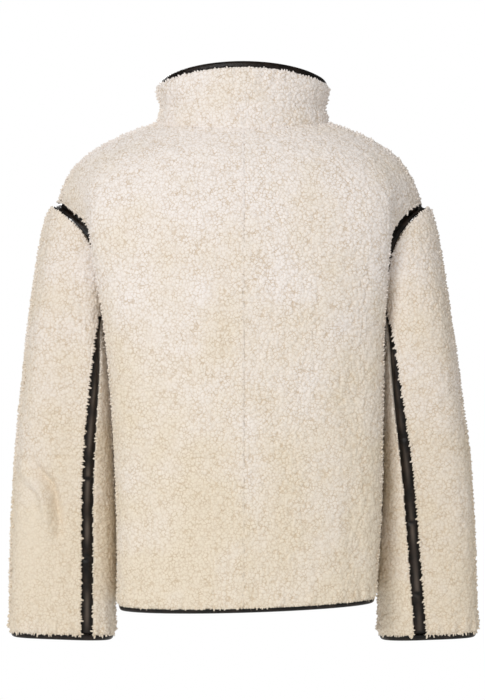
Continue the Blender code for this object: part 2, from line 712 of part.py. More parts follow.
def build_front_edge(side_name, side):
    """The leather binding down one front edge, and the half of the zip's tape beside it."""
    edges, tape = [], []
    for surface, normal, v in front_line(side):
        cloth_edge = share_at(surface, v, FRONT_CLOTH_EDGE)
        placed = surface(cloth_edge, v)
        edges.append((placed, normal(cloth_edge, v), unit(surface(0.0, v) - placed)))
        out = normal(0.0, v)
        near = surface(share_at(surface, v, SEAM_GAP), v)
        far = surface(share_at(surface, v, ZIP_OPENING - PIECE_GAP), v)
        top, bottom = TAPE_SUNK, TAPE_SUNK + TAPE_WALL
        tape.append([near - out * top, far - out * top, far - out * bottom, near - out * bottom])
    binding(f"front_edge_binding_{side_name}", edges)
    loft(f"zip_tape_{side_name}", tape, "tape")


# ---------------------------------------------------------------- sleeve pieces

ANGLE_STEP = math.radians(20)
LEAST_STEP = 0.4  # the last column before the strip is no narrower than this share of a step
ARM_WS = (
    *np.linspace(0.0, 1.0, CAP_ROWS + 1)[:-1],
    *np.linspace(1.0, len(RINGS), ARM_ROWS + 1),
)
CUFF_W = len(RINGS) - BINDING_WIDTH / (RINGS[-2].z_outer - RINGS[-1].z_outer)
CLOTH_WS = (*ARM_WS[:-1], CUFF_W)


class Sleeve:
    """One sleeve: its seams, as angles at each w, and the pieces cut between them."""

    def __init__(self, side_name, side):
        self.side_name = side_name
        self.side = side
        self.front_seam = math.radians(FRONT_SEAM)

    def strip_edge(self, w, which, clearance=0.0):
        """The angle of the strip's edge: which is -1 on the upper sleeve and 1 on the under sleeve."""
        return back_seam(self.side, w) + which * angle_for(self.side, w, STRIP_WIDTH / 2 + clearance)

    def columns(self):
        """Shares across the upper and the under sleeve, on the armhole's own angles where they start."""
        low, high = self.front_seam - 2 * math.pi, self.strip_edge(0.0, -1, STRIP_GAP)
        steps = int((high - low) / ANGLE_STEP - LEAST_STEP)
        upper = [k * ANGLE_STEP / (high - low) for k in range(steps + 1)] + [1.0]
        low, high = self.strip_edge(0.0, 1, STRIP_GAP), self.front_seam
        steps = int((high - low) / ANGLE_STEP - LEAST_STEP)
        under = [0.0] + [1.0 - k * ANGLE_STEP / (high - low) for k in range(steps, -1, -1)]
        return upper, under

    def angle(self, piece, share, w):
        if piece == "upper":
            low, high = self.front_seam - 2 * math.pi, self.strip_edge(w, -1, STRIP_GAP)
        else:
            low, high = self.strip_edge(w, 1, STRIP_GAP), self.front_seam
        return low + (high - low) * share

    def skin(self, angle, w):
        return sleeve_point(self.side, angle, w)

    def out(self, angle, w):
        return normal_of(self.skin, angle, w, self.side, u_range=None, v_range=(0.0, len(RINGS) + 0.2))

    def build_cloth(self, piece, shares):
        at_front_seam = shares[0] if piece == "upper" else shares[-1]
        inward = SEAM_TURN if piece == "upper" else -SEAM_TURN

        def place(share, w, gap):
            angle = self.angle(piece, share, w)
            placed = self.skin(angle, w)
            if share == at_front_seam:
                placed = towards(placed, self.skin(angle + inward, w), gap)
            if w == 0.0:
                placed = towards(placed, self.skin(angle, HEAD_NEIGHBOUR), gap - SEAM_GAP)
            return placed

        def out(share, w):
            return self.out(self.angle(piece, share, w), w)

        wall(f"sleeve_{self.side_name}_{piece}", place, out, shares, CLOTH_WS, "pile")

    def build_strip(self):
        sections = []
        for w in CLOTH_WS:
            angles = (self.strip_edge(w, -1), back_seam(self.side, w), self.strip_edge(w, 1))
            sections.append(trim_section(*[(self.skin(angle, w), self.out(angle, w)) for angle in angles]))
        loft(f"sleeve_strip_{self.side_name}", sections, "leather")

    def cuff_angles(self, upper, under):
        """Angles all round the cuff that meet the corners of both cloth pieces and of the strip."""
        turned = [self.angle("upper", share, CUFF_W) for share in upper]
        turned.append(back_seam(self.side, CUFF_W))
        return turned + [self.angle("under", share, CUFF_W) for share in under[:-1]]

    def build_cuff_binding(self, upper, under):
        sections = []
        for angle in self.cuff_angles(upper, under):
            placed, out = self.skin(angle, CUFF_W), self.out(angle, CUFF_W)
            heading = unit(self.skin(angle, len(RINGS)) - placed)
            sections.append((placed, out, heading))
        binding(f"cuff_binding_{self.side_name}", sections, closed_run=True)

    def build_band(self, upper, under):
        """The leather band let into the armhole seam, between the body's edge and the sleeve's head."""
        back_turns = [math.radians(turn) for turn in reversed(ARMHOLE_TURNS)]
        body_turns = back_turns + [2 * math.pi - turn for turn in reversed(back_turns[:-1])]
        body_lines = [self.body_line(turn) for turn in body_turns]
        head_turns = [self.angle("upper", share, 0.0) for share in upper]
        head_turns.append(back_seam(self.side, 0.0))
        head_turns += [self.angle("under", share, 0.0) for share in under]
        head_lines = [self.head_line(turn) for turn in head_turns]
        sections = []
        for turn in sorted({round(t % (2 * math.pi), 6) for t in body_turns + head_turns}):
            body = between(body_turns, body_lines, turn)
            wrapped = turn if turn <= head_turns[-1] else turn - 2 * math.pi
            head = between(head_turns, head_lines, wrapped)
            sections.append(self.band_section(turn, body, head))
        loft(f"armhole_band_{self.side_name}", sections, "leather", closed_run=True)

    def body_line(self, turn):
        """(point, normal) on the body's edge at an angle round the armhole."""
        face = 1.0 if turn <= math.pi else -1.0
        half_turn = min(turn if turn <= math.pi else 2 * math.pi - turn, math.pi)
        level = armhole_level(half_turn)
        surface, normal = body_surface(self.side, face)
        return surface(1.0, level), normal(1.0, level)

    def head_line(self, turn):
        return self.skin(turn, 0.0), self.out(turn, 0.0)

    def band_section(self, turn, body, head):
        gap = BAND_GAP + (BAND_GAP_AT_TIP - BAND_GAP) * ((1 + math.cos(turn)) / 2) ** 2
        (body_at, body_out, body_along), (head_at, head_out, head_along) = body, head
        body_off = unit(np.cross(body_along, body_out)) * self.side
        head_off = unit(np.cross(head_along, head_out)) * self.side
        first = body_at + body_off * gap
        last = head_at - head_off * gap
        out = unit(body_out + head_out - body_off + head_off)
        half = np.linalg.norm(last - first) / 2
        sag = math.sqrt(max((BAND_WIDTH / 2) ** 2 - half**2, 0.0))
        middle = (first + last) / 2 - out * sag
        return trim_section((first, body_out), (middle, out), (last, head_out))


def between(knots, lines, at):
    """(point, normal, direction along the run) on the straight stretches between lines."""
    i = min(max(int(np.searchsorted(knots, at, side="right")) - 1, 0), len(knots) - 2)
    share = min(max((at - knots[i]) / (knots[i + 1] - knots[i]), 0.0), 1.0)
    (here, out_here), (there, out_there) = lines[i], lines[i + 1]
    low, high = max(i - (share < 0.5), 0), min(i + 1 + (share > 0.5), len(knots) - 1)
    along = unit(lines[high][0] - lines[low][0])
    return here + (there - here) * share, out_here + (out_there - out_here) * share, along


def build_sleeve(side_name, side):
    sleeve = Sleeve(side_name, side)
    upper, under = sleeve.columns()
    sleeve.build_cloth("upper", upper)
    sleeve.build_cloth("under", under)
    sleeve.build_strip()
    sleeve.build_cuff_binding(upper, under)
    sleeve.build_band(upper, under)


# ---------------------------------------------------------------- zip


def block(name, size, centre, finish, bevel=0.0):
    """A box of a size in x, y and z, with rounded edges."""
    bm = bmesh.new()
    bmesh.ops.create_cube(bm, size=1.0)
    for vert in bm.verts:
        vert.co = [vert.co[i] * size[i] + centre[i] for i in range(3)]
    if bevel:
        bmesh.ops.bevel(bm, geom=bm.edges, offset=bevel, segments=2, profile=0.5, affect="EDGES", material=-1)
    return new_object(name, bm, finish)


def rod(name, radius, width, centre, finish):
    """A round bar along X."""
    bm = bmesh.new()
    bmesh.ops.create_cone(bm, segments=20, radius1=radius, radius2=radius, depth=width, cap_ends=True)
    for vert in bm.verts:
        vert.co = (vert.co.z + centre[0], vert.co.x + centre[1], vert.co.y + centre[2])
    return new_object(name, bm, finish)


def combine(target, other, operation):
    """Joins a helper to a piece, or cuts it out, and keeps the helper out of the model."""
    modifier = target.modifiers.new(other.name, "BOOLEAN")
    modifier.operation = operation
    modifier.object = other
    other.hide_render = True
    other.display_type = "WIRE"
    jacket.objects.unlink(other)
    helpers.objects.link(other)


def build_slider():
    """The zip's slider near the collar's top, and its pull tab, which swings on the slider's pin."""
    tape_y = -(level_depth(-1.0) - TAPE_SUNK)
    back_y = tape_y - PIECE_GAP
    front_y = back_y - SLIDER_DEPTH
    z = COLLAR_TOP_FRONT_Z - SLIDER_BELOW_TOP
    size = (SLIDER_WIDTH, SLIDER_DEPTH, SLIDER_LENGTH)
    slider = block("zip_slider", size, (0.0, (back_y + front_y) / 2, z), "metal", SLIDER_EDGE)
    pin = (0.0, front_y - PIN_STANDOFF, z + PIN_ABOVE_MIDDLE)
    ear_depth = PIN_STANDOFF + PIN_RADIUS + EAR_PAST_PIN
    for which in (-1, 1):
        ear_x = which * (EYE_WIDTH / 2 + PIECE_GAP + EAR_WIDTH / 2)
        centre = (ear_x, front_y - ear_depth / 2 + EAR_ROOT / 2, pin[2])
        ear = block(f"ear_{which}", (EAR_WIDTH, ear_depth + EAR_ROOT, EAR_LENGTH), centre, "metal")
        combine(slider, ear, "UNION")
    combine(slider, rod("pin", PIN_RADIUS, EYE_WIDTH + 2 * PIECE_GAP + EAR_WIDTH, pin, "metal"), "UNION")

    tab = rod("zip_pull_tab", EYE_RADIUS, EYE_WIDTH, pin, "metal")
    neck = block("neck", (EYE_WIDTH, TAB_THICK, TAB_NECK), (0.0, pin[1], pin[2] - TAB_NECK / 2), "metal")
    plate_length = TAB_LENGTH - TAB_NECK
    plate_centre = (0.0, pin[1], pin[2] - TAB_NECK - plate_length / 2 + TAB_LAP)
    plate = block("plate", (TAB_WIDTH, TAB_THICK, plate_length), plate_centre, "metal", TAB_EDGE)
    combine(tab, neck, "UNION")
    combine(tab, plate, "UNION")
    combine(tab, rod("eye", PIN_RADIUS + PIECE_GAP, EYE_WIDTH * 2, pin, "metal"), "DIFFERENCE")


def main():
    for side_name, side in SIDES.items():
        build_panel(f"back_{side_name}", side, 1.0)
        build_panel(f"front_{side_name}", side, -1.0)
        build_sleeve(side_name, side)
        build_front_edge(side_name, side)
    build_collar()
    build_hem_binding()
    build_slider()


for old in list(bpy.data.objects):
    bpy.data.objects.remove(old)
jacket = bpy.data.collections.new("sherpa jacket")
helpers = bpy.data.collections.new("helpers")
for collection in (jacket, helpers):
    bpy.context.scene.collection.children.link(collection)
main()
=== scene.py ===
"""Looks of the sherpa jacket: boucle pile, leather trim, a zipped front and a pale studio.

Every cloth panel and leather trim starts as a copy of its own solid, is smoothed, and then gets the
surface of the real material. The front faces -Y and the camera looks at the back.
"""

import logging
import math
from dataclasses import dataclass
from enum import Enum

import bmesh
import bpy
import numpy as np
from bmesh.types import BMesh, BMFace, BMLayerItem
from bpy.types import GeometryNodeTree, Material, Mesh, Node, NodeSocket, NodeTree, Object
from mathutils import Matrix, Vector, noise
from mathutils.kdtree import KDTree


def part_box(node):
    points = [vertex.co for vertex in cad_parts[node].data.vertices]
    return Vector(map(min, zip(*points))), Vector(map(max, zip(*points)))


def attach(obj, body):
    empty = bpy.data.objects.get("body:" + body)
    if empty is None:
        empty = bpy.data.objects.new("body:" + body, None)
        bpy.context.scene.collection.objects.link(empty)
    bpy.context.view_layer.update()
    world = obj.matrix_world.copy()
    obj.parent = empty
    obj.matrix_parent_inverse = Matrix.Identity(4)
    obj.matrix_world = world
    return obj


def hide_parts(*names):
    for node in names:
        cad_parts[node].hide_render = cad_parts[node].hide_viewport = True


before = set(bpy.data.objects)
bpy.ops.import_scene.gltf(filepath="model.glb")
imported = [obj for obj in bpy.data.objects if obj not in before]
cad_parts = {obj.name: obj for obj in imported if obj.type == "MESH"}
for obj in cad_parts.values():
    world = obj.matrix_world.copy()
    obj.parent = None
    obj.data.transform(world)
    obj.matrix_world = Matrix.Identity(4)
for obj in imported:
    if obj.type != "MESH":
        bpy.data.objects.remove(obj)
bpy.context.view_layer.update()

logging.basicConfig(level=logging.INFO, format="%(message)s")
log = logging.getLogger("jacket")

MM = 0.001
JACKET = "jacket"
SHARP = math.radians(50)  # folds sharper than this part a wall's outer side from its edges
PAIRED = math.radians(60)  # triangles that meet at less than this are paired into quads
TOUCHING = 1e-6  # points closer than this are one
TINY = 1e-9  # keeps a length that is divided by from being nothing

# Kinds of nodes that are added more than once
MATH = "ShaderNodeMath"
VECTOR_MATH = "ShaderNodeVectorMath"
MAP_RANGE = "ShaderNodeMapRange"
MIX = "ShaderNodeMix"
NOISE = "ShaderNodeTexNoise"
VORONOI = "ShaderNodeTexVoronoi"
ATTRIBUTE = "ShaderNodeAttribute"
NAMED = "GeometryNodeInputNamedAttribute"
STORE = "GeometryNodeStoreNamedAttribute"
PLACE = "ShaderNodeTexCoord"

# Names of the values that are kept on the points
REST = "rest_place"  # where the point lay before the pile was raised
NAP = "nap_direction"  # which way the pile stands there
FULLNESS = "pile_fullness"  # 1 out on the panel, less along its cut edge, 0 on the inside
BRUSHED = "pile_brushed"  # 1 where the nubs are rubbed smooth
CREST_HIGHLIGHT = "leather_crest_highlight"  # 1 along the leather's crest, where a highlight is painted lighter
LEAN = "tuft_lean"
SIZE = "tuft_size"
OUTER = "outer"  # 1 on the faces of a wall's outer side


class Slot(Enum):
    """The material slots."""

    PILE = "pile"
    LEATHER = "leather"
    TAPE = "tape"
    METAL = "metal"


class Held(Enum):
    """How a cut piece of cloth is held."""

    HUNG = "hung"
    DRAPED = "draped"


# ---------------------------------------------------------------- nodes


def linear(colour: str) -> tuple[float, float, float, float]:
    """Turns an sRGB hex colour into the linear colour that a shader takes.

    Args:
        colour: Six hex digits, such as "e8dbcc".

    Returns:
        Red, green, blue and an alpha of 1.
    """
    parts = [int(colour[i : i + 2], 16) / 255 for i in (0, 2, 4)]
    red, green, blue = (c / 12.92 if c <= 0.04045 else ((c + 0.055) / 1.055) ** 2.4 for c in parts)
    return red, green, blue, 1.0


def add_node(tree: NodeTree, kind: str, settings: dict | None = None, links: dict | None = None) -> Node:
    """Adds a node with its settings and links.

    Args:
        tree: The node tree that it goes in.
        kind: The node's type name.
        settings: Values by name: the node's own properties, or its inputs by name or number.
        links: What is joined to its inputs, by name or number: a socket, or a node for its first output.

    Returns:
        The new node.
    """
    node = tree.nodes.new(kind)
    for name, value in (settings or {}).items():
        if isinstance(name, str) and hasattr(node, name):
            setattr(node, name, value)
        else:
            node.inputs[name].default_value = value
    for name, source in (links or {}).items():
        socket = source.outputs[0] if isinstance(source, Node) else source
        tree.links.new(socket, node.inputs[name])
    return node


def new_material(name: str) -> tuple[Material, NodeTree]:
    """An empty node material and its tree."""
    made = bpy.data.materials.new(name)
    made.use_nodes = True
    made.node_tree.nodes.clear()
    return made, made.node_tree


def finish_surface(tree: NodeTree, look: dict, colour: NodeSocket, height: Node, relief: tuple) -> None:
    """Adds a material's bump, its shader and its output.

    Args:
        tree: The material's tree.
        look: The shader's settings.
        colour: The base colour.
        height: The node whose first output is the relief.
        relief: How strongly the relief shows, and its depth in metres.
    """
    strength, depth = relief
    bump = add_node(tree, "ShaderNodeBump", {"Strength": strength, "Distance": depth}, {"Height": height})
    shader = add_node(tree, "ShaderNodeBsdfPrincipled", look, {"Base Color": colour, "Normal": bump})
    add_node(tree, "ShaderNodeOutputMaterial", links={"Surface": shader})


# ---------------------------------------------------------------- finishes


@dataclass(frozen=True)
class NubField:
    """Sockets that give the boucle's form at a point, each from 0 to 1."""

    nub: NodeSocket  # 1 on a nub, 0 in the crack round it
    curl: NodeSocket  # 1 on a loop of yarn
    furrow: NodeSocket  # 0 in the longer furrows between groups of nubs
    clump: NodeSocket  # the slow rise and fall of the pile
    lump: NodeSocket  # a few nubs together, which make the outline uneven
    mottle: NodeSocket  # how open the cracks are hereabouts


@dataclass(frozen=True)
class Nubs:
    """The boucle's nubs: rounded curls of yarn with thin cracks between them."""

    nub: float = 3.9 * MM  # from one nub to the next
    curl: float = 1.9 * MM  # the loops of yarn in a nub
    furrow: float = 14 * MM
    clump: float = 26 * MM
    lump: float = 7 * MM
    mottle: float = 12 * MM
    wander: float = 2.4 * MM  # how far the cracks stray from straight
    wander_over: float = 6.24 * MM  # the length over which they do
    softness: float = 1.5  # the detail of the slow patterns
    loop_rim: float = 0.75  # a loop of yarn rises from here, as a share of its size
    loop_top: float = 0.05
    mottle_low: float = 0.35  # the cracks' painted shade shows least where the mottle is under this, and most over the next
    mottle_high: float = 0.65
    furrow_share: float = 0.10  # share of a group over which it rounds down to its furrow
    mesh_share: float = 0.30  # the same of a nub on the mesh, whose points lie too wide for less
    close: float = 0.26  # nubs whose middles lie closer than this to the crack touch, and it closes
    far: float = 0.62
    nub_height: float = 1.0 * MM
    curl_height: float = 0.4 * MM
    furrow_depth: float = 0.6 * MM
    clump_height: float = 1.4 * MM
    lump_height: float = 2.2 * MM
    top: float = 0.8 * MM  # the nubs' tops stand this far over the solid
    edge_drop: float = 1.5 * MM  # the pile rolls down this far at a cut edge
    brushed_flat: float = 0.7  # share of a nub's height that brushing takes

    def cells(self, tree: NodeTree, place: NodeSocket, size: float, share: float) -> NodeSocket:
        """Rounded cells: 1 over each and 0 on the lines between them.

        Args:
            tree: A material's or a geometry tree.
            place: The point's place.
            size: From one cell to the next, in metres.
            share: Share of a cell over which it rounds down to its edge.

        Returns:
            The cells' height.
        """
        edges = {"feature": "DISTANCE_TO_EDGE", "Scale": 1 / size}
        lines = add_node(tree, VORONOI, edges, {"Vector": place})
        rounding = {"interpolation_type": "SMOOTHSTEP", "From Max": share}
        return add_node(tree, MAP_RANGE, rounding, {"Value": lines}).outputs["Result"]

    def field(self, tree: NodeTree, place: NodeSocket, nub_share: float) -> NubField:
        """The boucle's form, the same in a shader and on the mesh.

        Args:
            tree: A material's or a geometry tree.
            place: The point's place before the pile was raised, in metres.
            nub_share: Share of a nub over which it rounds down to a crack.

        Returns:
            The sockets that give it.
        """
        stray = add_node(
            tree, NOISE, {"Scale": 1 / self.wander_over, "Detail": self.softness}, {"Vector": place}
        )
        centred = add_node(
            tree, VECTOR_MATH, {"operation": "SUBTRACT", 1: (0.5, 0.5, 0.5)}, {0: stray.outputs["Color"]}
        )
        reach = {"operation": "MULTIPLY_ADD", 1: (2 * self.wander,) * 3}
        moved = add_node(tree, VECTOR_MATH, reach, {0: centred, 2: place}).outputs[0]
        nubs, loops = (
            add_node(tree, VORONOI, {"feature": "F1", "Scale": 1 / size}, {"Vector": moved})
            for size in (self.nub, self.curl)
        )
        wide = add_node(
            tree,
            MAP_RANGE,
            {"interpolation_type": "SMOOTHSTEP", "From Min": self.close, "From Max": self.far},
            {"Value": nubs},
        )
        lines = self.cells(tree, moved, self.nub, nub_share)
        crack = add_node(tree, MATH, {"operation": "SUBTRACT", 0: 1.0}, {1: lines})
        broken = add_node(tree, MATH, {"operation": "MULTIPLY"}, {0: crack, 1: wide})
        nub = add_node(tree, MATH, {"operation": "SUBTRACT", 0: 1.0}, {1: broken})
        curl = add_node(
            tree, MAP_RANGE, {"From Min": self.loop_rim, "From Max": self.loop_top}, {"Value": loops}
        )
        clump, lump, mottle = (
            add_node(tree, NOISE, {"Scale": 1 / size, "Detail": self.softness}, {"Vector": place})
            for size in (self.clump, self.lump, self.mottle)
        )
        opened = add_node(
            tree, MAP_RANGE, {"From Min": self.mottle_low, "From Max": self.mottle_high}, {"Value": mottle}
        )
        return NubField(
            nub=nub.outputs[0],
            curl=curl.outputs[0],
            furrow=self.cells(tree, moved, self.furrow, self.furrow_share),
            clump=clump.outputs[0],
            lump=lump.outputs[0],
            mottle=opened.outputs[0],
        )


@dataclass(frozen=True)
class BouclePile:
    """Polyester sherpa: knitted, its pile curled into matt nubs, so it has soft cracks and no gloss."""

    nubs: Nubs = Nubs()
    cool: str = "f7f0eb"  # a pinkish cream
    warm: str = "eee2ce"  # a yellower cream
    sleeve_shade: str = "dccdb9"  # painted shade: the sleeves' pile is drawn a little darker and duller than the back's
    sleeve_shade_share: float = 0.20
    sleeve_shade_from: float = 0.17  # the painted shade starts this far to each side, and is full at the next
    sleeve_shade_full: float = 0.23
    # painted shade of the cracks and furrows between the nubs
    crack: str = "c2a988"
    backing: str = "e2d6c6"  # the knitted side
    patch: float = 70 * MM  # the yarn's colour drifts over this distance
    unshaded_over: float = -0.05  # painted shade: the yarn is drawn coolest over this height, and warmest and darkest under the next
    shaded_under: float = -0.55
    low_shade: float = 0.25
    drift_cool: float = 0.25  # the drift is all cool under this and all warm over the next
    drift_warm: float = 0.75
    bare_under: float = 0.1  # the backing shows where the pile is less full than this
    nub_share: float = 0.17
    least_crack_shade: float = 0.30  # how much a crack's painted shade shows where the nubs lie close
    most_crack_shade: float = 0.66
    furrow_shade: float = 0.10
    brushed_off: float = 0.8  # share of the cracks' painted shade that brushing hides
    roughness: float = 0.95
    sheen: float = 0.15
    sheen_roughness: float = 0.6
    fibre: float = 0.9 * MM  # drawn coarser than the real fibre, so that it shows
    curl_relief: float = 0.5  # against a nub's
    fibre_relief: float = 0.45
    relief: tuple[float, float] = (0.32, 0.6 * MM)

    def material(self) -> Material:
        """Builds the pile's material."""
        made, tree = new_material("sherpa boucle pile")
        place = add_node(tree, ATTRIBUTE, {"attribute_name": REST}).outputs["Vector"]
        field = self.nubs.field(tree, place, self.nub_share)
        with_crack_shade = add_node(
            tree,
            MIX,
            {"data_type": "RGBA", 7: linear(self.crack)},
            {0: self.crack_shade_share(tree, field), 6: self.yarn(tree, place)},
        )
        fullness = add_node(tree, ATTRIBUTE, {"attribute_name": FULLNESS}).outputs["Fac"]
        on_pile = add_node(tree, MAP_RANGE, {"From Max": self.bare_under}, {"Value": fullness})
        colour = add_node(
            tree, MIX, {"data_type": "RGBA", 6: linear(self.backing)}, {0: on_pile, 7: with_crack_shade.outputs[2]}
        )
        fibres = add_node(tree, NOISE, {"Scale": 1 / self.fibre, "Detail": 3.0}, {"Vector": place})
        rise = add_node(
            tree, MATH, {"operation": "MULTIPLY_ADD", 1: self.curl_relief}, {0: field.curl, 2: field.nub}
        )
        height = add_node(
            tree, MATH, {"operation": "MULTIPLY_ADD", 1: self.fibre_relief}, {0: fibres, 2: rise}
        )
        look = {
            "Roughness": self.roughness, "Sheen Weight": self.sheen, "Sheen Roughness": self.sheen_roughness
        }
        finish_surface(tree, look, colour.outputs[2], height, self.relief)
        return made

    def yarn(self, tree: NodeTree, place: NodeSocket) -> NodeSocket:
        """The yarn's colour: it drifts in patches, and painted shade makes it warmer and darker lower down
        and darker on the sleeves.

        Args:
            tree: The material's tree.
            place: The point's place.

        Returns:
            The colour, without the cracks' painted shade.
        """
        drift = add_node(tree, NOISE, {"Scale": 1 / self.patch, "Detail": 3.0}, {"Vector": place})
        parts = add_node(tree, "ShaderNodeSeparateXYZ", {}, {0: place})
        # painted shade: warmer and darker lower down, added to the random drift
        low_shading = {
            "From Min": self.unshaded_over,
            "From Max": self.shaded_under,
            "To Min": -self.low_shade,
            "To Max": self.low_shade,
        }
        low = add_node(tree, MAP_RANGE, low_shading, {"Value": parts.outputs["Z"]})
        drift_plus_shade = add_node(tree, MATH, {"operation": "ADD"}, {0: low, 1: drift})
        warmth_and_shade = add_node(
            tree, MAP_RANGE, {"From Min": self.drift_cool, "From Max": self.drift_warm}, {"Value": drift_plus_shade}
        )
        yarn = add_node(
            tree, MIX, {"data_type": "RGBA", 6: linear(self.cool), 7: linear(self.warm)}, {0: warmth_and_shade}
        )
        # painted shade: the yarn is drawn darker out on the sleeves, past the body's sides
        across = add_node(tree, MATH, {"operation": "ABSOLUTE"}, {0: parts.outputs["X"]})
        outwards = {
            "interpolation_type": "SMOOTHSTEP",
            "From Min": self.sleeve_shade_from,
            "From Max": self.sleeve_shade_full,
            "To Max": self.sleeve_shade_share,
        }
        on_sleeve = add_node(tree, MAP_RANGE, outwards, {"Value": across})
        sleeve_shaded = add_node(
            tree, MIX, {"data_type": "RGBA", 7: linear(self.sleeve_shade)}, {0: on_sleeve, 6: yarn.outputs[2]}
        )
        return sleeve_shaded.outputs[2]

    def crack_shade_share(self, tree: NodeTree, field: NubField) -> NodeSocket:
        """How much of the cracks' painted shade shows: most in open cracks, little where the pile is brushed.

        Args:
            tree: The material's tree.
            field: The boucle's form.

        Returns:
            The share, from 0 to 1.
        """
        shades = {"To Min": self.least_crack_shade, "To Max": self.most_crack_shade}
        strength = add_node(tree, MAP_RANGE, shades, {"Value": field.mottle})
        open_crack, in_furrow = (
            add_node(tree, MATH, {"operation": "SUBTRACT", 0: 1.0}, {1: height})
            for height in (field.nub, field.furrow)
        )
        shade_in_cracks = add_node(tree, MATH, {"operation": "MULTIPLY"}, {0: open_crack, 1: strength})
        both = add_node(
            tree, MATH, {"operation": "MULTIPLY_ADD", 1: self.furrow_shade}, {0: in_furrow, 2: shade_in_cracks}
        )
        brushed = add_node(tree, ATTRIBUTE, {"attribute_name": BRUSHED}).outputs["Fac"]
        kept = {"operation": "MULTIPLY_ADD", 1: -self.brushed_off, 2: 1.0}
        left = add_node(tree, MATH, kept, {0: brushed})
        held = {"operation": "MULTIPLY", "use_clamp": True}
        return add_node(tree, MATH, held, {0: both, 1: left}).outputs[0]


@dataclass(frozen=True)
class SoftLeather:
    """Nappa: dyed lambskin with a thin satin dressing, so it has a soft highlight and a fine grain."""

    deep: str = "0c0907"
    worn: str = "281e18"
    crest_highlight: str = "584e46"  # painted highlight: lighter where it stands out most
    grain: float = 1.1 * MM  # drawn about twice as coarse as the skin's, so that it shows
    pebble_share: float = 0.25  # share of a grain over which it rounds down
    crumple: float = 9 * MM
    deep_under: float = 0.42  # the crumple is deep in colour under this and worn over the next
    worn_over: float = 0.72
    crumple_relief: float = 6.0  # against a grain's
    roughness: float = 0.31
    gloss: float = 0.28  # the dressing is thin, so it mirrors less than plain plastic does
    relief: tuple[float, float] = (0.35, 0.25 * MM)

    def material(self) -> Material:
        """Builds the leather's material."""
        made, tree = new_material("soft nappa leather")
        place = add_node(tree, PLACE).outputs["Object"]
        edges = {"feature": "DISTANCE_TO_EDGE", "Scale": 1 / self.grain}
        cells = add_node(tree, VORONOI, edges, {"Vector": place})
        pebble = add_node(tree, MAP_RANGE, {"From Max": self.pebble_share}, {"Value": cells})
        crumple = add_node(tree, NOISE, {"Scale": 1 / self.crumple, "Detail": 3.0}, {"Vector": place})
        wear = add_node(
            tree, MAP_RANGE, {"From Min": self.deep_under, "From Max": self.worn_over}, {"Value": crumple}
        )
        colour = add_node(
            tree, MIX, {"data_type": "RGBA", 6: linear(self.deep), 7: linear(self.worn)}, {0: wear}
        )
        crest_highlight = add_node(tree, ATTRIBUTE, {"attribute_name": CREST_HIGHLIGHT}).outputs["Fac"]
        # painted highlight: a lighter colour mixed in along the crest
        rubbed = add_node(
            tree, MIX, {"data_type": "RGBA", 7: linear(self.crest_highlight)}, {0: crest_highlight, 6: colour.outputs[2]}
        )
        height = add_node(
            tree, MATH, {"operation": "MULTIPLY_ADD", 1: self.crumple_relief}, {0: crumple, 2: pebble}
        )
        look = {"Roughness": self.roughness, "Specular IOR Level": self.gloss}
        finish_surface(tree, look, rubbed.outputs[2], height, self.relief)
        return made


@dataclass(frozen=True)
class ZipTape:
    """Polyester zip tape: a tight black twill, flat and matt."""

    thread: float = 0.8 * MM  # drawn twice as coarse as the real thread, so that it shows
    waver: float = 0.6
    wave_scale: float = 0.31  # the wave's scale is this over the thread
    dark: str = "131211"
    light: str = "2b2927"
    roughness: float = 0.88
    relief: tuple[float, float] = (0.5, 0.2 * MM)

    def material(self) -> Material:
        """Builds the tape's material."""
        made, tree = new_material("woven zip tape")
        place = add_node(tree, PLACE).outputs["Object"]
        twill = {
            "bands_direction": "DIAGONAL",
            "Scale": self.wave_scale / self.thread,
            "Distortion": self.waver,
            "Detail": 1.0,
        }
        ribs = add_node(tree, "ShaderNodeTexWave", twill, {"Vector": place})
        colour = add_node(
            tree, MIX, {"data_type": "RGBA", 6: linear(self.dark), 7: linear(self.light)}, {0: ribs}
        )
        finish_surface(tree, {"Roughness": self.roughness}, colour.outputs[2], ribs, self.relief)
        return made


@dataclass(frozen=True)
class PlatedMetal:
    """Zinc alloy, tumbled and plated in black nickel, so its edges are soft and its gloss is dark."""

    face: str = "57534f"
    rubbed: str = "8a847d"
    roughness: float = 0.3
    tumble: float = 1.6 * MM
    relief: tuple[float, float] = (0.12, 0.1 * MM)

    def material(self) -> Material:
        """Builds the metal's material."""
        made, tree = new_material("black nickel plate")
        place = add_node(tree, PLACE).outputs["Object"]
        marks = add_node(tree, NOISE, {"Scale": 1 / self.tumble, "Detail": 4.0}, {"Vector": place})
        colour = add_node(
            tree, MIX, {"data_type": "RGBA", 6: linear(self.face), 7: linear(self.rubbed)}, {0: marks}
        )
        look = {"Metallic": 1.0, "Roughness": self.roughness}
        finish_surface(tree, look, colour.outputs[2], marks, self.relief)
        return made


# ---------------------------------------------------------------- mesh helpers


def new_piece(name: str, mesh: Mesh, finish: Material) -> Object:
    """An object at the origin, in its finish, that rides on the jacket.

    Args:
        name: The piece's name.
        mesh: Its mesh, in place.
        finish: Its material.

    Returns:
        The new object.
    """
    mesh.materials.clear()
    mesh.materials.append(finish)
    made = bpy.data.objects.new(name, mesh)
    bpy.context.scene.collection.objects.link(made)
    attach(made, JACKET)
    return made


def mesh_of(bm: BMesh, name: str) -> Mesh:
    """A new mesh with what the bmesh holds, which is freed."""
    mesh = bpy.data.meshes.new(name)
    bm.to_mesh(mesh)
    bm.free()
    return mesh


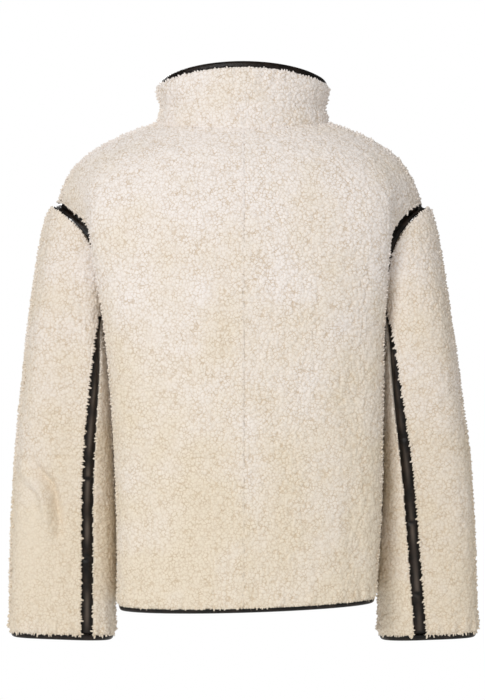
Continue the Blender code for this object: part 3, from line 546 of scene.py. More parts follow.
def with_modifier(mesh: Mesh, kind: str, settings: dict) -> Mesh:
    """The mesh that a modifier makes of this one, which is removed.

    Args:
        mesh: The mesh.
        kind: The modifier's type.
        settings: Its properties by name.

    Returns:
        The new mesh.
    """
    holder = bpy.data.objects.new("holder", mesh)
    bpy.context.scene.collection.objects.link(holder)
    modifier = holder.modifiers.new("modifier", kind)
    for name, value in settings.items():
        setattr(modifier, name, value)
    graph = bpy.context.evaluated_depsgraph_get()
    made = bpy.data.meshes.new_from_object(holder.evaluated_get(graph))
    bpy.data.objects.remove(holder)
    bpy.data.meshes.remove(mesh)
    return made


def smooth_copy(node: str) -> BMesh:
    """A copy of a solid's mesh after Catmull-Clark smoothing, which keeps its sharp edges.

    Args:
        node: The solid's node.

    Returns:
        The smooth mesh, each face of the solid divided twice.
    """
    bm = bmesh.new()
    bm.from_mesh(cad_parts[node].data)
    bmesh.ops.remove_doubles(bm, verts=bm.verts, dist=TOUCHING)
    bmesh.ops.join_triangles(
        bm, faces=bm.faces, angle_face_threshold=PAIRED, angle_shape_threshold=math.pi, topology_influence=2.0
    )
    crease = bm.edges.layers.float.new("crease_edge")
    for edge in bm.edges:
        if edge.is_manifold and edge.calc_face_angle() > SHARP:
            edge[crease] = 1.0
    levels = {"levels": 2, "render_levels": 2, "use_limit_surface": False}
    made = with_modifier(mesh_of(bm, node), "SUBSURF", levels)
    again = bmesh.new()
    again.from_mesh(made)
    bpy.data.meshes.remove(made)
    return again


def divide(bm: BMesh, longest: float, outer: BMLayerItem | None = None) -> None:
    """Divides edges until none is long.

    Args:
        bm: The mesh.
        longest: The longest edge that stays.
        outer: The layer that marks the outer side, where only that side is divided.
    """
    while True:
        far = [
            edge
            for edge in bm.edges
            if edge.calc_length() > longest
            and (outer is None or any(face[outer] for face in edge.link_faces))
        ]
        if not far:
            return
        bmesh.ops.subdivide_edges(bm, edges=far, cuts=1, use_grid_fill=True)


def patches(bm: BMesh) -> list[set]:
    """The faces in groups that sharp edges part, the largest first.

    Args:
        bm: The mesh.

    Returns:
        Sets of faces.
    """
    left, groups = set(bm.faces), []
    while left:
        waiting = [left.pop()]
        group = set(waiting)
        while waiting:
            for edge in waiting.pop().edges:
                if edge.calc_face_angle(math.pi) > SHARP:
                    continue
                near = set(edge.link_faces) & left
                left -= near
                group |= near
                waiting.extend(near)
        groups.append(group)
    return sorted(groups, key=lambda group: -sum(face.calc_area() for face in group))


def smoothstep(values: np.ndarray) -> np.ndarray:
    """0 to 1 with level ends, for values from 0 to 1."""
    held = np.clip(values, 0.0, 1.0)
    return held * held * (3 - 2 * held)


def unit(ways: np.ndarray) -> np.ndarray:
    """Rows of x, y and z at a length of 1, but for rows of nothing."""
    return ways / np.maximum(np.linalg.norm(ways, axis=1), TINY)[:, None]


def tree_of(places: np.ndarray | list[Vector]) -> KDTree:
    """A tree that finds the nearest of these places."""
    tree = KDTree(len(places))
    for i, place in enumerate(places):
        tree.insert(place, i)
    tree.balance()
    return tree


def keep_on_points(mesh: Mesh, name: str, values: np.ndarray) -> None:
    """Stores a number or a vector on each point of a mesh."""
    kind, field = ("FLOAT_VECTOR", "vector") if values.ndim == 2 else ("FLOAT", "value")
    mesh.attributes.new(name, kind, "POINT").data.foreach_set(field, values.astype(np.float32).ravel())


def point_array(mesh: Mesh) -> np.ndarray:
    """The mesh's points as rows of x, y and z."""
    points = np.empty(len(mesh.vertices) * 3, np.float32)
    mesh.vertices.foreach_get("co", points)
    return points.reshape(-1, 3).astype(float)


def move_points(mesh: Mesh, points: np.ndarray) -> None:
    """Puts the mesh's points at rows of x, y and z."""
    mesh.vertices.foreach_set("co", points.astype(np.float32).ravel())


@dataclass
class Sides:
    """The outer side of a wall, point by point."""

    outward: np.ndarray  # each point's unit normal on the outer side, or zeros where it isn't on it
    inward: np.ndarray  # the same on the rest of the wall
    on_outer: np.ndarray
    edge: np.ndarray  # the numbers of the points where the outer side ends


def read_sides(mesh: Mesh) -> Sides:
    """Reads the outer side of a wall.

    Args:
        mesh: A wall's mesh, whose faces are marked where they are its outer side.

    Returns:
        What its points say.
    """
    marks, counts = (np.empty(len(mesh.polygons), np.int32) for _ in range(2))
    corners = np.empty(len(mesh.loops), np.int32)
    normals = np.empty(len(mesh.polygons) * 3, np.float32)
    mesh.attributes[OUTER].data.foreach_get("value", marks)
    mesh.polygons.foreach_get("loop_total", counts)
    mesh.polygons.foreach_get("normal", normals)
    mesh.loops.foreach_get("vertex_index", corners)
    face_of = np.repeat(np.arange(len(counts)), counts)
    sides = []
    for wanted in (1, 0):
        chosen = marks[face_of] == wanted
        summed = np.zeros((len(mesh.vertices), 3))
        np.add.at(summed, corners[chosen], normals.reshape(-1, 3)[face_of[chosen]])
        sides.append(unit(summed))
    on_outer, on_rest = (np.linalg.norm(side, axis=1) > 0 for side in sides)
    return Sides(sides[0], sides[1], on_outer, np.flatnonzero(on_outer & on_rest))


# ---------------------------------------------------------------- pile


def new_geometry_tree(name: str) -> tuple[GeometryNodeTree, Node]:
    """A geometry tree that takes a mesh and gives one, and its input node."""
    tree = bpy.data.node_groups.new(name, "GeometryNodeTree")
    for way in ("INPUT", "OUTPUT"):
        tree.interface.new_socket("Geometry", in_out=way, socket_type="NodeSocketGeometry")
    return tree, add_node(tree, "NodeGroupInput")


def nub_tree(nubs: Nubs) -> GeometryNodeTree:
    """A geometry tree that raises the pile's nubs on a smooth panel.

    Args:
        nubs: The boucle's sizes.

    Returns:
        The tree, which reads the values kept on the points.
    """
    tree, start = new_geometry_tree("raise nubs")
    place, nap, fullness, brushed = (
        add_node(tree, NAMED, {"data_type": kind, "Name": name})
        for kind, name in (
            ("FLOAT_VECTOR", REST), ("FLOAT_VECTOR", NAP), ("FLOAT", FULLNESS), ("FLOAT", BRUSHED)
        )
    )
    field = nubs.field(tree, place.outputs[0], nubs.mesh_share)
    slow = (nubs.clump_height + nubs.lump_height) / 2
    base = nubs.top - nubs.nub_height - nubs.curl_height - nubs.furrow_depth - slow
    flattened = {"operation": "MULTIPLY_ADD", 1: -nubs.brushed_flat * nubs.nub_height, 2: nubs.nub_height}
    rough = add_node(tree, MATH, flattened, {0: brushed})
    rise = add_node(tree, MATH, {"operation": "MULTIPLY_ADD", 2: base}, {0: field.nub, 1: rough})
    for height, share in (
        (nubs.curl_height, field.curl),
        (nubs.furrow_depth, field.furrow),
        (nubs.clump_height, field.clump),
        (nubs.lump_height, field.lump),
    ):
        rise = add_node(tree, MATH, {"operation": "MULTIPLY_ADD", 1: height}, {0: share, 2: rise})
    lifted = add_node(tree, MATH, {"operation": "ADD", 1: nubs.edge_drop}, {0: rise})
    dropped = {"operation": "MULTIPLY_ADD", 2: -nubs.edge_drop}
    offset = add_node(tree, MATH, dropped, {0: lifted, 1: fullness})
    along = add_node(tree, VECTOR_MATH, {"operation": "SCALE"}, {0: nap, "Scale": offset})
    moved = add_node(tree, "GeometryNodeSetPosition", links={"Geometry": start, "Offset": along})
    add_node(tree, "NodeGroupOutput", links={0: moved})
    return tree


def tuft_tree(tuft: Object, brushed: float) -> GeometryNodeTree:
    """A geometry tree that stands a tuft of pile on each point, leaning as the point says.

    Args:
        tuft: The tuft that is repeated.
        brushed: How smooth its pile is.

    Returns:
        The tree, which leaves on the tufts what the pile's material reads.
    """
    tree, start = new_geometry_tree("stand tufts")
    shape = add_node(tree, "GeometryNodeObjectInfo", {"Object": tuft})
    lean, size = (add_node(tree, NAMED, {"data_type": "FLOAT_VECTOR", "Name": name}) for name in (LEAN, SIZE))
    turn = add_node(tree, "FunctionNodeAlignRotationToVector", {"axis": "Z"}, {"Vector": lean})
    stood = add_node(
        tree,
        "GeometryNodeInstanceOnPoints",
        links={"Points": start, "Instance": shape.outputs["Geometry"], "Rotation": turn, "Scale": size},
    )
    real = add_node(tree, "GeometryNodeRealizeInstances", links={0: stood})
    place = add_node(tree, "GeometryNodeInputPosition")
    kept = add_node(
        tree,
        STORE,
        {"data_type": "FLOAT_VECTOR", "domain": "POINT", "Name": REST},
        {"Geometry": real, "Value": place},
    )
    for name, value in ((FULLNESS, 1.0), (BRUSHED, brushed)):
        stored = {"data_type": "FLOAT", "domain": "POINT", "Name": name, "Value": value}
        kept = add_node(tree, STORE, stored, {"Geometry": kept})
    add_node(tree, "NodeGroupOutput", links={0: kept})
    return tree


@dataclass(frozen=True)
class Crease:
    """A soft crease, drawn as it is seen from the back or the front: a trough with a ridge beside it."""

    line: tuple[tuple[float, float], ...]  # across and up, in millimetres, as the next four are
    depth: float
    half_width: float
    ridge: float = 0.0
    ridge_off: float = 12.0  # on the line's left, going along it, or on its right where negative
    from_back: bool = True
    ridge_wide: float = 1.3  # against the trough
    blunt: float = 0.7  # under 1, it stays deep for more of its length
    seen_from: float = 0.1  # it starts where the nap turns this far to the front or back
    seen_over: float = 0.4  # and is whole this much further on

    def lift(self, places: np.ndarray, nap: np.ndarray) -> np.ndarray:
        """How far the crease lifts each point along its nap.

        Args:
            places: The points.
            nap: The outward way at each.

        Returns:
            One height for each point. A trough is negative.
        """
        flat = places[:, (0, 2)]
        nearest = np.full(len(flat), np.inf)
        side = np.zeros(len(flat))
        share = np.zeros(len(flat))
        knots = np.array(self.line) * MM
        lengths = np.linalg.norm(np.diff(knots, axis=0), axis=1)
        for k, length in enumerate(lengths):
            run = knots[k + 1] - knots[k]
            off = flat - knots[k]
            along = np.clip(off @ run / length**2, 0.0, 1.0)
            away = np.linalg.norm(off - along[:, None] * run, axis=1)
            nearer = away < nearest
            side[nearer] = np.sign(run[0] * off[:, 1] - run[1] * off[:, 0])[nearer]
            share[nearer] = ((lengths[:k].sum() + along * length) / lengths.sum())[nearer]
            nearest = np.minimum(nearest, away)
        fade = np.sin(np.pi * share) ** self.blunt
        turned = nap[:, 1] * (1 if self.from_back else -1)
        facing = smoothstep((turned - self.seen_from) / self.seen_over)
        half, off_ridge = self.half_width * MM, side * nearest - self.ridge_off * MM
        trough = self.depth * MM * np.exp(-((nearest / half) ** 2))
        ridge = self.ridge * MM * np.exp(-((off_ridge / (self.ridge_wide * half)) ** 2))
        return fade * facing * (ridge - trough)


@dataclass(frozen=True)
class Roll:
    """A level trough or ridge round the sides of a panel, as where a collar pulls in over its seam."""

    height: float
    rise: float  # a trough is negative
    half_width: float
    side_from: float = 0.3  # it starts where the nap turns this far to the side
    side_over: float = 0.5  # and is whole this much further on

    def lift(self, places: np.ndarray, nap: np.ndarray) -> np.ndarray:
        """How far the roll lifts each point along its nap.

        Args:
            places: The points.
            nap: The outward way at each.

        Returns:
            One height for each point.
        """
        level = np.exp(-(((places[:, 2] - self.height) / self.half_width) ** 2))
        return self.rise * level * smoothstep((np.abs(nap[:, 0]) - self.side_from) / self.side_over)


@dataclass(frozen=True)
class BrushedSpot:
    """A place on the outside where the pile is rubbed smooth."""

    centre: tuple[float, float, float]
    reach: tuple[float, float, float]
    most: float = 0.75

    def share(self, places: np.ndarray) -> np.ndarray:
        """How brushed each point is, most at the middle of the spot."""
        away = (places - np.array(self.centre)) / np.array(self.reach)
        return self.most * np.exp(-(away**2).sum(1))


@dataclass
class Border:
    """The cut edge of a panel: its points, the way out over it at each, and the trim beside it."""

    places: np.ndarray
    out: np.ndarray
    nap: np.ndarray
    beside: np.ndarray  # the number of the leather node beside each point, or -1
    fold_places: np.ndarray  # points where the panel turns round a side and makes the outline
    fold_naps: np.ndarray


class Trims:
    """The leather pieces, as one tree of points that tells which of them lies beside a place."""

    def __init__(self) -> None:
        """Reads the leather solids."""
        self.names = tuple(trim.node for trim in TRIMS)
        points = [[vert.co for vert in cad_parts[node].data.vertices] for node in self.names]
        self.owner = [k for k, places in enumerate(points) for _ in places]
        self.tree = tree_of([place for places in points for place in places])

    def beside(self, place: np.ndarray, near: float = 5.5 * MM) -> int:
        """The number of the leather node within a distance of a place, or -1."""
        _, found, distance = self.tree.find(place)
        return self.owner[found] if distance < near else -1


@dataclass
class PilePanel:
    """A cut piece of sherpa: its solid's form, smoothed, with the pile raised on its outer side."""

    node: str
    flat: tuple[float, float]  # the cut's width and length, in metres
    area: float  # the cut's area, in square metres
    held: Held
    creases: tuple[Crease | Roll, ...] = ()
    brushed: tuple[BrushedSpot, ...] = ()
    longest_edge: float = 2.5 * MM
    edge_roll: float = 3.5 * MM  # the pile rolls down to the cut edge over this distance
    edge_band: float = 4 * MM  # points this near tell which way is out over the edge
    rolled: float = 0.25  # the fullness left at a cut edge beside leather
    sewn: float = 0.72  # the fullness left at a seam with another panel
    cuff_swell: float = 2.4 * MM  # the pile stands out over a cuff's binding by this much
    hem_swell: float = 1.4 * MM  # and over the hem's and the collar's by this
    swell_at: float = 6 * MM  # from the edge
    side_on: float = 0.35  # how far from side-on the pile may stand and still make the outline

    def build(self, tree: GeometryNodeTree, finish: Material, trims: Trims) -> Border:
        """Builds the panel.

        Args:
            tree: The geometry tree that raises the nubs.
            finish: The pile's material.
            trims: The leather pieces.

        Returns:
            The panel's cut edge, for the tufts that stand along it.
        """
        bm = smooth_copy(self.node)
        outer = bm.faces.layers.int.new(OUTER)
        for face in patches(bm)[0]:
            face[outer] = 1
        divide(bm, self.longest_edge, outer)
        mesh = mesh_of(bm, self.node + "_pile")
        border = self.lay(mesh, trims)
        made = with_modifier(mesh, "NODES", {"node_group": tree})
        made.shade_smooth()
        piece = new_piece(self.node + "_pile", made, finish)
        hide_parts(self.node)
        log.info("%s: %d faces", piece.name, len(made.polygons))
        return border

    def lay(self, mesh: Mesh, trims: Trims) -> Border:
        """Lays the creases in and stores each point's place, nap and pile.

        Args:
            mesh: The panel's smooth mesh.
            trims: The leather pieces.

        Returns:
            The panel's cut edge.
        """
        points = point_array(mesh)
        sides = read_sides(mesh)
        beside = np.array([trims.beside(points[i]) for i in sides.edge])
        away, toward, nearest = self.edge_distances(points, sides)
        border_trim = np.where(nearest >= 0, beside[np.maximum(nearest, 0)], -1)
        least = np.where(border_trim >= 0, self.rolled, self.sewn)
        fullness = least + (1 - least) * smoothstep(away / self.edge_roll)
        way = np.where(sides.on_outer[:, None], sides.outward, -sides.inward)
        lift = sum((crease.lift(points, way) for crease in self.creases), np.zeros(len(points)))
        lift += self.swell(away, border_trim, trims) * sides.on_outer
        points += way * lift[:, None]
        move_points(mesh, points)
        brushed = sum((spot.share(points) for spot in self.brushed), np.zeros(len(points)))
        keep_on_points(mesh, REST, points)
        keep_on_points(mesh, NAP, sides.outward)
        keep_on_points(mesh, FULLNESS, fullness * sides.on_outer)
        keep_on_points(mesh, BRUSHED, np.minimum(brushed, 1.0))
        nap = sides.outward[sides.edge]
        out = toward[sides.edge]
        out -= nap * (out * nap).sum(1)[:, None]
        turned = (np.abs(sides.outward[:, 1]) < self.side_on) & (away > self.edge_roll)
        fold = np.flatnonzero(turned & sides.on_outer)
        return Border(points[sides.edge], unit(out), nap, beside, points[fold], sides.outward[fold])

    def edge_distances(self, points: np.ndarray, sides: Sides) -> tuple[np.ndarray, np.ndarray, np.ndarray]:
        """Measures how the outer points lie to the cut edge.

        Args:
            points: The panel's points.
            sides: Its outer side.

        Returns:
            Each point's distance to the edge, the way out at the edge's points, and the nearest of them.
        """
        away = np.full(len(points), 1.0)
        toward = np.zeros_like(points)
        nearest = np.full(len(points), -1)
        tree = tree_of(points[sides.edge])
        for i in np.flatnonzero(sides.on_outer):
            found, nearest[i], away[i] = tree.find(points[i])
            if 0 < away[i] < self.edge_band:
                toward[sides.edge[nearest[i]]] += np.array(found) - points[i]
        return away, toward, nearest

    def swell(self, away: np.ndarray, border_trim: np.ndarray, trims: Trims) -> np.ndarray:
        """How far the pile stands out beside the bindings that it hangs over.

        Args:
            away: Each point's distance to the cut edge.
            border_trim: The number of the leather node beside the nearest of the edge's points.
            trims: The leather pieces.

        Returns:
            One height for each point.
        """
        swells = {"cuff": self.cuff_swell, "hem": self.hem_swell, "collar": self.hem_swell}
        height = np.zeros(len(away))
        for k, name in enumerate(trims.names):
            height[border_trim == k] = swells.get(name.split("_")[0], 0.0)
        far = away / self.swell_at
        return height * far * np.exp(1 - far)


# ---------------------------------------------------------------- tufts


@dataclass(frozen=True)
class TuftRow:
    """Tufts of one kind along an edge."""

    spacing: float
    length: tuple[float, float]
    width: tuple[float, float]  # a little more than its greatest radius
    lift: tuple[float, float]  # how steeply it stands off the cloth
    droop: float = 0.3
    inset: float = 2.0 * MM  # its root lies this far in from the edge
    under: float = 1.0  # only roots lower than this


BAND_END = -0.158  # the armhole bands show down to this height
RAGGED = (
    TuftRow(8.5 * MM, (5.0 * MM, 6.6 * MM), (2.0 * MM, 2.8 * MM), (0.0, 0.3)),
    TuftRow(2.6 * MM, (3.0 * MM, 4.4 * MM), (1.5 * MM, 2.3 * MM), (0.0, 0.4)),
)
COVER = (*RAGGED, TuftRow(2.4 * MM, (6.5 * MM, 9.0 * MM), (2.0 * MM, 2.8 * MM), (-0.1, 0.2), under=BAND_END))
CLOSED = (
    TuftRow(2.2 * MM, (2.6 * MM, 3.6 * MM), (1.6 * MM, 2.2 * MM), (0.0, 0.3), droop=0.0),
    TuftRow(3.0 * MM, (4.0 * MM, 6.0 * MM), (1.8 * MM, 2.6 * MM), (0.0, 0.3), under=BAND_END),
)
FRINGE = (
    TuftRow(2.2 * MM, (4.2 * MM, 6.6 * MM), (1.3 * MM, 2.0 * MM), (0.1, 0.5), droop=0.5),
    TuftRow(3.5 * MM, (3.5 * MM, 5.5 * MM), (1.4 * MM, 2.2 * MM), (0.3, 0.8), droop=0.6, inset=5 * MM),
)
LIGHT = (TuftRow(2.8 * MM, (2.8 * MM, 4.2 * MM), (1.4 * MM, 2.2 * MM), (0.0, 0.4)),)
SOFT = (TuftRow(3.0 * MM, (2.8 * MM, 4.4 * MM), (1.8 * MM, 2.6 * MM), (0.1, 0.7), droop=0.0),)
SEAM = (
    TuftRow(2.5 * MM, (2.6 * MM, 3.8 * MM), (1.6 * MM, 2.3 * MM), (0.1, 0.5), droop=0.0, inset=1.4 * MM),
)


def rows_beside(node: str, trim: str) -> tuple[TuftRow, ...]:
    """The rows of tufts that a panel has beside a leather piece.

    Args:
        node: The panel's node.
        trim: The leather's node, or "" at a seam with another panel.

    Returns:
        The rows, or none where the panel's edge is sewn down clean.
    """
    rows = {"": SEAM, "cuff": FRINGE, "collar": SOFT, "hem": LIGHT, "front": LIGHT}
    part = trim.split("_")[0]
    if part == "armhole":
        return CLOSED if node.startswith("sleeve") else COVER
    return rows.get(part, RAGGED if node.endswith("upper") else ())


@dataclass
class Tufts:
    """Tapered tufts of pile that stand over the leather, the seams and the outline."""

    seed: int = 11
    brushed: float = 0.8  # a tuft's yarn is open, so it shows little of the cracks' painted shade
    scatter: float = 0.2  # how unevenly the tufts of a row lean
    sunk: float = 1.5 * MM  # their roots lie this deep
    fold_spacing: float = 4.8 * MM
    fold_length: tuple[float, float] = (2.4 * MM, 4.2 * MM)
    fold_width: tuple[float, float] = (1.6 * MM, 2.4 * MM)
    fold_scatter: float = 0.5
    fold_sunk: float = 1.2 * MM
    uneven: tuple[float, float] = (0.55, 1.1)  # shares of the spacing
    sag: tuple[float, float] = (0.4, 1.2)  # shares of the droop
    sides: int = 5
    root: float = 0.8  # the unit tuft's radius at its root and tip
    tip: float = 0.34
    waist: float = 0.55  # the height of its extra ring of points
    belly: float = 0.45  # how much it swells
    belly_over: float = 1.4  # its swelling ends at 1 over this of its height
    bend: float = 0.35

    def unit_tuft(self) -> Object:
        """A tuft one long and about one in radius, fullest just over its root and blunt at its tip."""
        bm = bmesh.new()
        bmesh.ops.create_cone(
            bm, cap_ends=True, segments=self.sides, radius1=self.root, radius2=self.tip, depth=1.0
        )
        bmesh.ops.translate(bm, verts=bm.verts, vec=(0, 0, 0.5))
        bmesh.ops.bisect_plane(
            bm, geom=bm.verts[:] + bm.edges[:] + bm.faces[:], plane_co=(0, 0, self.waist), plane_no=(0, 0, 1)
        )
        for vert in bm.verts:
            height = vert.co.z
            swell = 1.0 + self.belly * math.sin(math.pi * min(height * self.belly_over, 1.0))
            vert.co.x = vert.co.x * swell + self.bend * height**2
            vert.co.y *= swell
        made = bpy.data.objects.new("tuft", mesh_of(bm, "tuft"))
        bpy.context.scene.collection.objects.link(made)
        made.hide_render = True
        return made

    def spread(self, places: np.ndarray, spacing: float, draw: np.random.Generator) -> np.ndarray:
        """Picks points about a spacing apart, in an uneven way.

        Args:
            places: The points.
            spacing: The wanted distance from one to the next.
            draw: The source of chance.

        Returns:
            The numbers of the picked points.
        """
        picked: list[int] = []
        for i in draw.permutation(len(places)):
            room = spacing * draw.uniform(*self.uneven)
            if not picked or np.linalg.norm(places[picked] - places[i], axis=1).min() > room:
                picked.append(int(i))
        return np.array(picked, int)

    def grow(self, row: TuftRow, border: Border, here: np.ndarray, draw: np.random.Generator) -> tuple:
        """Draws one row of tufts.

        Args:
            row: The row.
            border: The panel's cut edge.
            here: The numbers of its points beside one trim.
            draw: The source of chance.

        Returns:
            The tufts' roots, leans and sizes.
        """
        low = here[border.places[here, 2] < row.under]
        chosen = low[self.spread(border.places[low], row.spacing, draw)]
        count = len(chosen)
        out, nap = border.out[chosen], border.nap[chosen]
        lean = out + nap * draw.uniform(*row.lift, (count, 1)) + draw.normal(0, self.scatter, (count, 3))
        lean[:, 2] -= row.droop * draw.uniform(*self.sag, count)
        roots = border.places[chosen] - out * row.inset - nap * self.sunk
        return roots, unit(lean), self.sizes(row.width, row.length, count, draw)

    def sizes(self, width: tuple, length: tuple, count: int, draw: np.random.Generator) -> np.ndarray:
        """Each tuft's size across, across and along."""
        wide = draw.uniform(*width, count)
        return np.stack([wide, wide, draw.uniform(*length, count)], 1)

    def build(self, node: str, border: Border, finish: Material, trims: Trims) -> None:
        """Stands tufts along one panel's edge and on its outline, as one piece.

        Args:
            node: The panel's node.
            border: The panel's cut edge.
            finish: The pile's material.
            trims: The leather pieces.
        """
        draw = np.random.default_rng(self.seed)
        grown = []
        for k, trim in ((-1, ""), *enumerate(trims.names)):
            here = np.flatnonzero(border.beside == k)
            if len(here):
                grown += [self.grow(row, border, here, draw) for row in rows_beside(node, trim)]
        if len(border.fold_places):
            chosen = self.spread(border.fold_places, self.fold_spacing, draw)
            nap = border.fold_naps[chosen]
            lean = unit(nap + draw.normal(0, self.fold_scatter, nap.shape))
            sizes = self.sizes(self.fold_width, self.fold_length, len(chosen), draw)
            grown.append((border.fold_places[chosen] - nap * self.fold_sunk, lean, sizes))
        roots, leans, sizes = (np.concatenate(part) for part in zip(*grown))
        name = node + "_tufts"
        mesh = bpy.data.meshes.new(name)
        mesh.from_pydata(roots.tolist(), [], [])
        keep_on_points(mesh, LEAN, leans)
        keep_on_points(mesh, SIZE, sizes)
        tuft = self.unit_tuft()
        made = with_modifier(mesh, "NODES", {"node_group": tuft_tree(tuft, self.brushed)})
        made.shade_smooth()
        bpy.data.objects.remove(tuft)
        new_piece(name, made, finish)
        log.info("%s: %d tufts", name, len(roots))


# ---------------------------------------------------------------- leather


class Naps:
    """The way that the pile stands along every cut edge, to tell a trim's outer side from its inner."""

    facing = 0.6  # a face's normal and the nap agree at least this far on the outer side

    def __init__(self, borders: list[Border]) -> None:
        """Gathers the panels' cut edges."""
        self.nap = np.concatenate([border.nap for border in borders])
        self.tree = tree_of(np.concatenate([border.places for border in borders]))

    def is_outer(self, face: BMFace) -> bool:
        """Whether a face looks the way that the pile beside it stands."""
        _, found, _ = self.tree.find(face.calc_center_median())
        return face.normal.dot(Vector(self.nap[found])) > self.facing


@dataclass
class LeatherTrim:
    """A leather band, strip or binding: its solid's form, puffed out between its edges, puckered."""

    node: str
    half_width: float = 6 * MM
    puff: float = 1.0 * MM
    pinches: tuple[float, ...] = ()  # heights at which it is drawn in across its width
    pinch_depth: float = 2.4 * MM
    pinch_width: float = 2.6 * MM
    crumple: float = 0.45 * MM
    crumple_size: float = 11 * MM
    highlight_stretch: float = 0.4  # scales the noise that patches the painted highlight: 0.4 makes its spots 2.5 puckers long
    highlight_pinched: float = 1.5  # how far a pinch keeps the painted highlight off the crest
    highlight_mean: float = 0.5
    highlight_range: float = 1.2  # how patchy they are
    highlight_from: float = 0.5  # the crest starts this far in from the edge, as a share of the half width
    highlight_over: float = 0.45
    tip_lift: float = 0.0  # raised by this at the shoulder tip, where the band reaches the outline
    tip_x: float = 0.200
    tip_run: float = 20 * MM  # over this distance
    shrink: float = 0.0  # drawn in towards its middle by this share
    longest_edge: float = 2.6 * MM

    def build(self, finish: Material, naps: Naps) -> None:
        """Builds the trim.

        Args:
            finish: The leather's material.
            naps: The pile's ways beside it.
        """
        bm = smooth_copy(self.node)
        outer = bm.faces.layers.int.new(OUTER)
        for face in bm.faces:
            face[outer] = int(naps.is_outer(face))
        divide(bm, self.longest_edge)
        if self.shrink:
            middle = sum((vert.co for vert in bm.verts), Vector()) / len(bm.verts)
            share = 1 - self.shrink
            space = Matrix.Translation(-middle)
            bmesh.ops.scale(bm, vec=(share, share, 1.0), space=space, verts=bm.verts)
        mesh = mesh_of(bm, self.node + "_leather")
        self.puff_out(mesh)
        mesh.shade_smooth()
        mesh.set_sharp_from_angle(angle=SHARP)
        piece = new_piece(self.node + "_leather", mesh, finish)
        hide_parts(self.node)
        log.info("%s: %d faces", piece.name, len(mesh.polygons))

    def puff_out(self, mesh: Mesh) -> None:
        """Rounds the outer side up between its edges, puckers it, and marks where a highlight is painted
        along its top.
        """
        points = point_array(mesh)
        sides = read_sides(mesh)
        tree = tree_of(points[sides.edge])
        lift = np.zeros(len(points))
        # painted highlight along the crest, patchy and broken at the pinches
        rubbed = np.zeros(len(points))
        for i in np.flatnonzero(sides.on_outer):
            place = Vector(points[i])
            across = min(tree.find(place)[2] / self.half_width, 1.0)
            rounded = 1 - (1 - across) ** 2
            pinched = sum(math.exp(-(((place.z - z) / self.pinch_width) ** 2)) for z in self.pinches)
            wrinkle = noise.noise(place / self.crumple_size) * self.crumple
            at_tip = min(max((abs(place.x) - self.tip_x) / self.tip_run, 0.0), 1.0)
            raised = rounded * (self.puff + wrinkle - pinched * self.pinch_depth)
            lift[i] = raised + at_tip * self.tip_lift
            stretched = noise.noise(place * self.highlight_stretch / self.crumple_size)
            patchy = self.highlight_mean + self.highlight_range * stretched
            on_crest = smoothstep((across - self.highlight_from) / self.highlight_over)
            rubbed[i] = patchy * on_crest * max(1 - self.highlight_pinched * pinched, 0.0)
        move_points(mesh, points + sides.outward * lift[:, None])
        keep_on_points(mesh, CREST_HIGHLIGHT, np.clip(rubbed, 0.0, 1.0))


# ---------------------------------------------------------------- zip


@dataclass
class ZipChain:
    """Two rows of moulded teeth, locked together down the centre front, up to the slider."""

    pitch: float = 2.6 * MM  # from a tooth to the next one of its own row
    start: float = 4 * MM  # from the hem
    across: float = 3.0 * MM
    along: float = 1.15 * MM
    deep: float = 1.5 * MM
    off_centre: float = 0.75 * MM  # each row's teeth stand this much to their own side
    edge: float = 0.22 * MM
    near_centre: float = 0.4 * MM  # the tape's points this close to the middle give its line
    same_row: float = 2 * MM
    slope_over: float = 1 * MM

    def centre_line(self) -> np.ndarray:
        """The tape's front face at the centre, from the hem up, as rows of y and z."""
        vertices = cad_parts["zip_tape_left"].data.vertices
        near = {(round(v.co.y, 5), round(v.co.z, 5)) for v in vertices if abs(v.co.x) < self.near_centre}
        rows: list[tuple[float, float]] = []
        for place in sorted(near, key=lambda at: at[1]):
            if rows and place[1] - rows[-1][1] < self.same_row:
                rows[-1] = min(rows[-1], place)
            else:
                rows.append(place)
        return np.array(rows)

    def build(self, finish: Material) -> None:
        """Builds the teeth as one piece.

        Args:
            finish: The metal.
        """
        line = self.centre_line()
        lengths = np.linalg.norm(np.diff(line, axis=0), axis=1)
        reached = np.concatenate([[0.0], np.cumsum(lengths)])
        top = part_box("zip_slider")[0][2] - self.along
        size = Matrix.Diagonal((self.across, self.deep, self.along, 1.0))
        bm = bmesh.new()
        count = 0
        for k, at in enumerate(np.arange(self.start, reached[-1], self.pitch / 2)):
            y, z = (np.interp(at, reached, line[:, axis]) for axis in (0, 1))
            if z > top:
                break
            y_next, z_next = (np.interp(at + self.slope_over, reached, line[:, axis]) for axis in (0, 1))
            slope = math.atan2(y_next - y, z_next - z)
            side = 1 if k % 2 else -1
            place = Matrix.Translation((side * self.off_centre, y - self.deep / 2, z))
            bmesh.ops.create_cube(bm, size=1.0, matrix=place @ Matrix.Rotation(-slope, 4, "X") @ size)
            count += 1
        bmesh.ops.bevel(
            bm, geom=bm.edges[:], offset=self.edge, segments=1, profile=0.5, affect="EDGES", material=-1
        )
        new_piece("zip_teeth", mesh_of(bm, "zip_teeth"), finish)
        log.info("zip_teeth: %d teeth", count)


# ---------------------------------------------------------------- studio


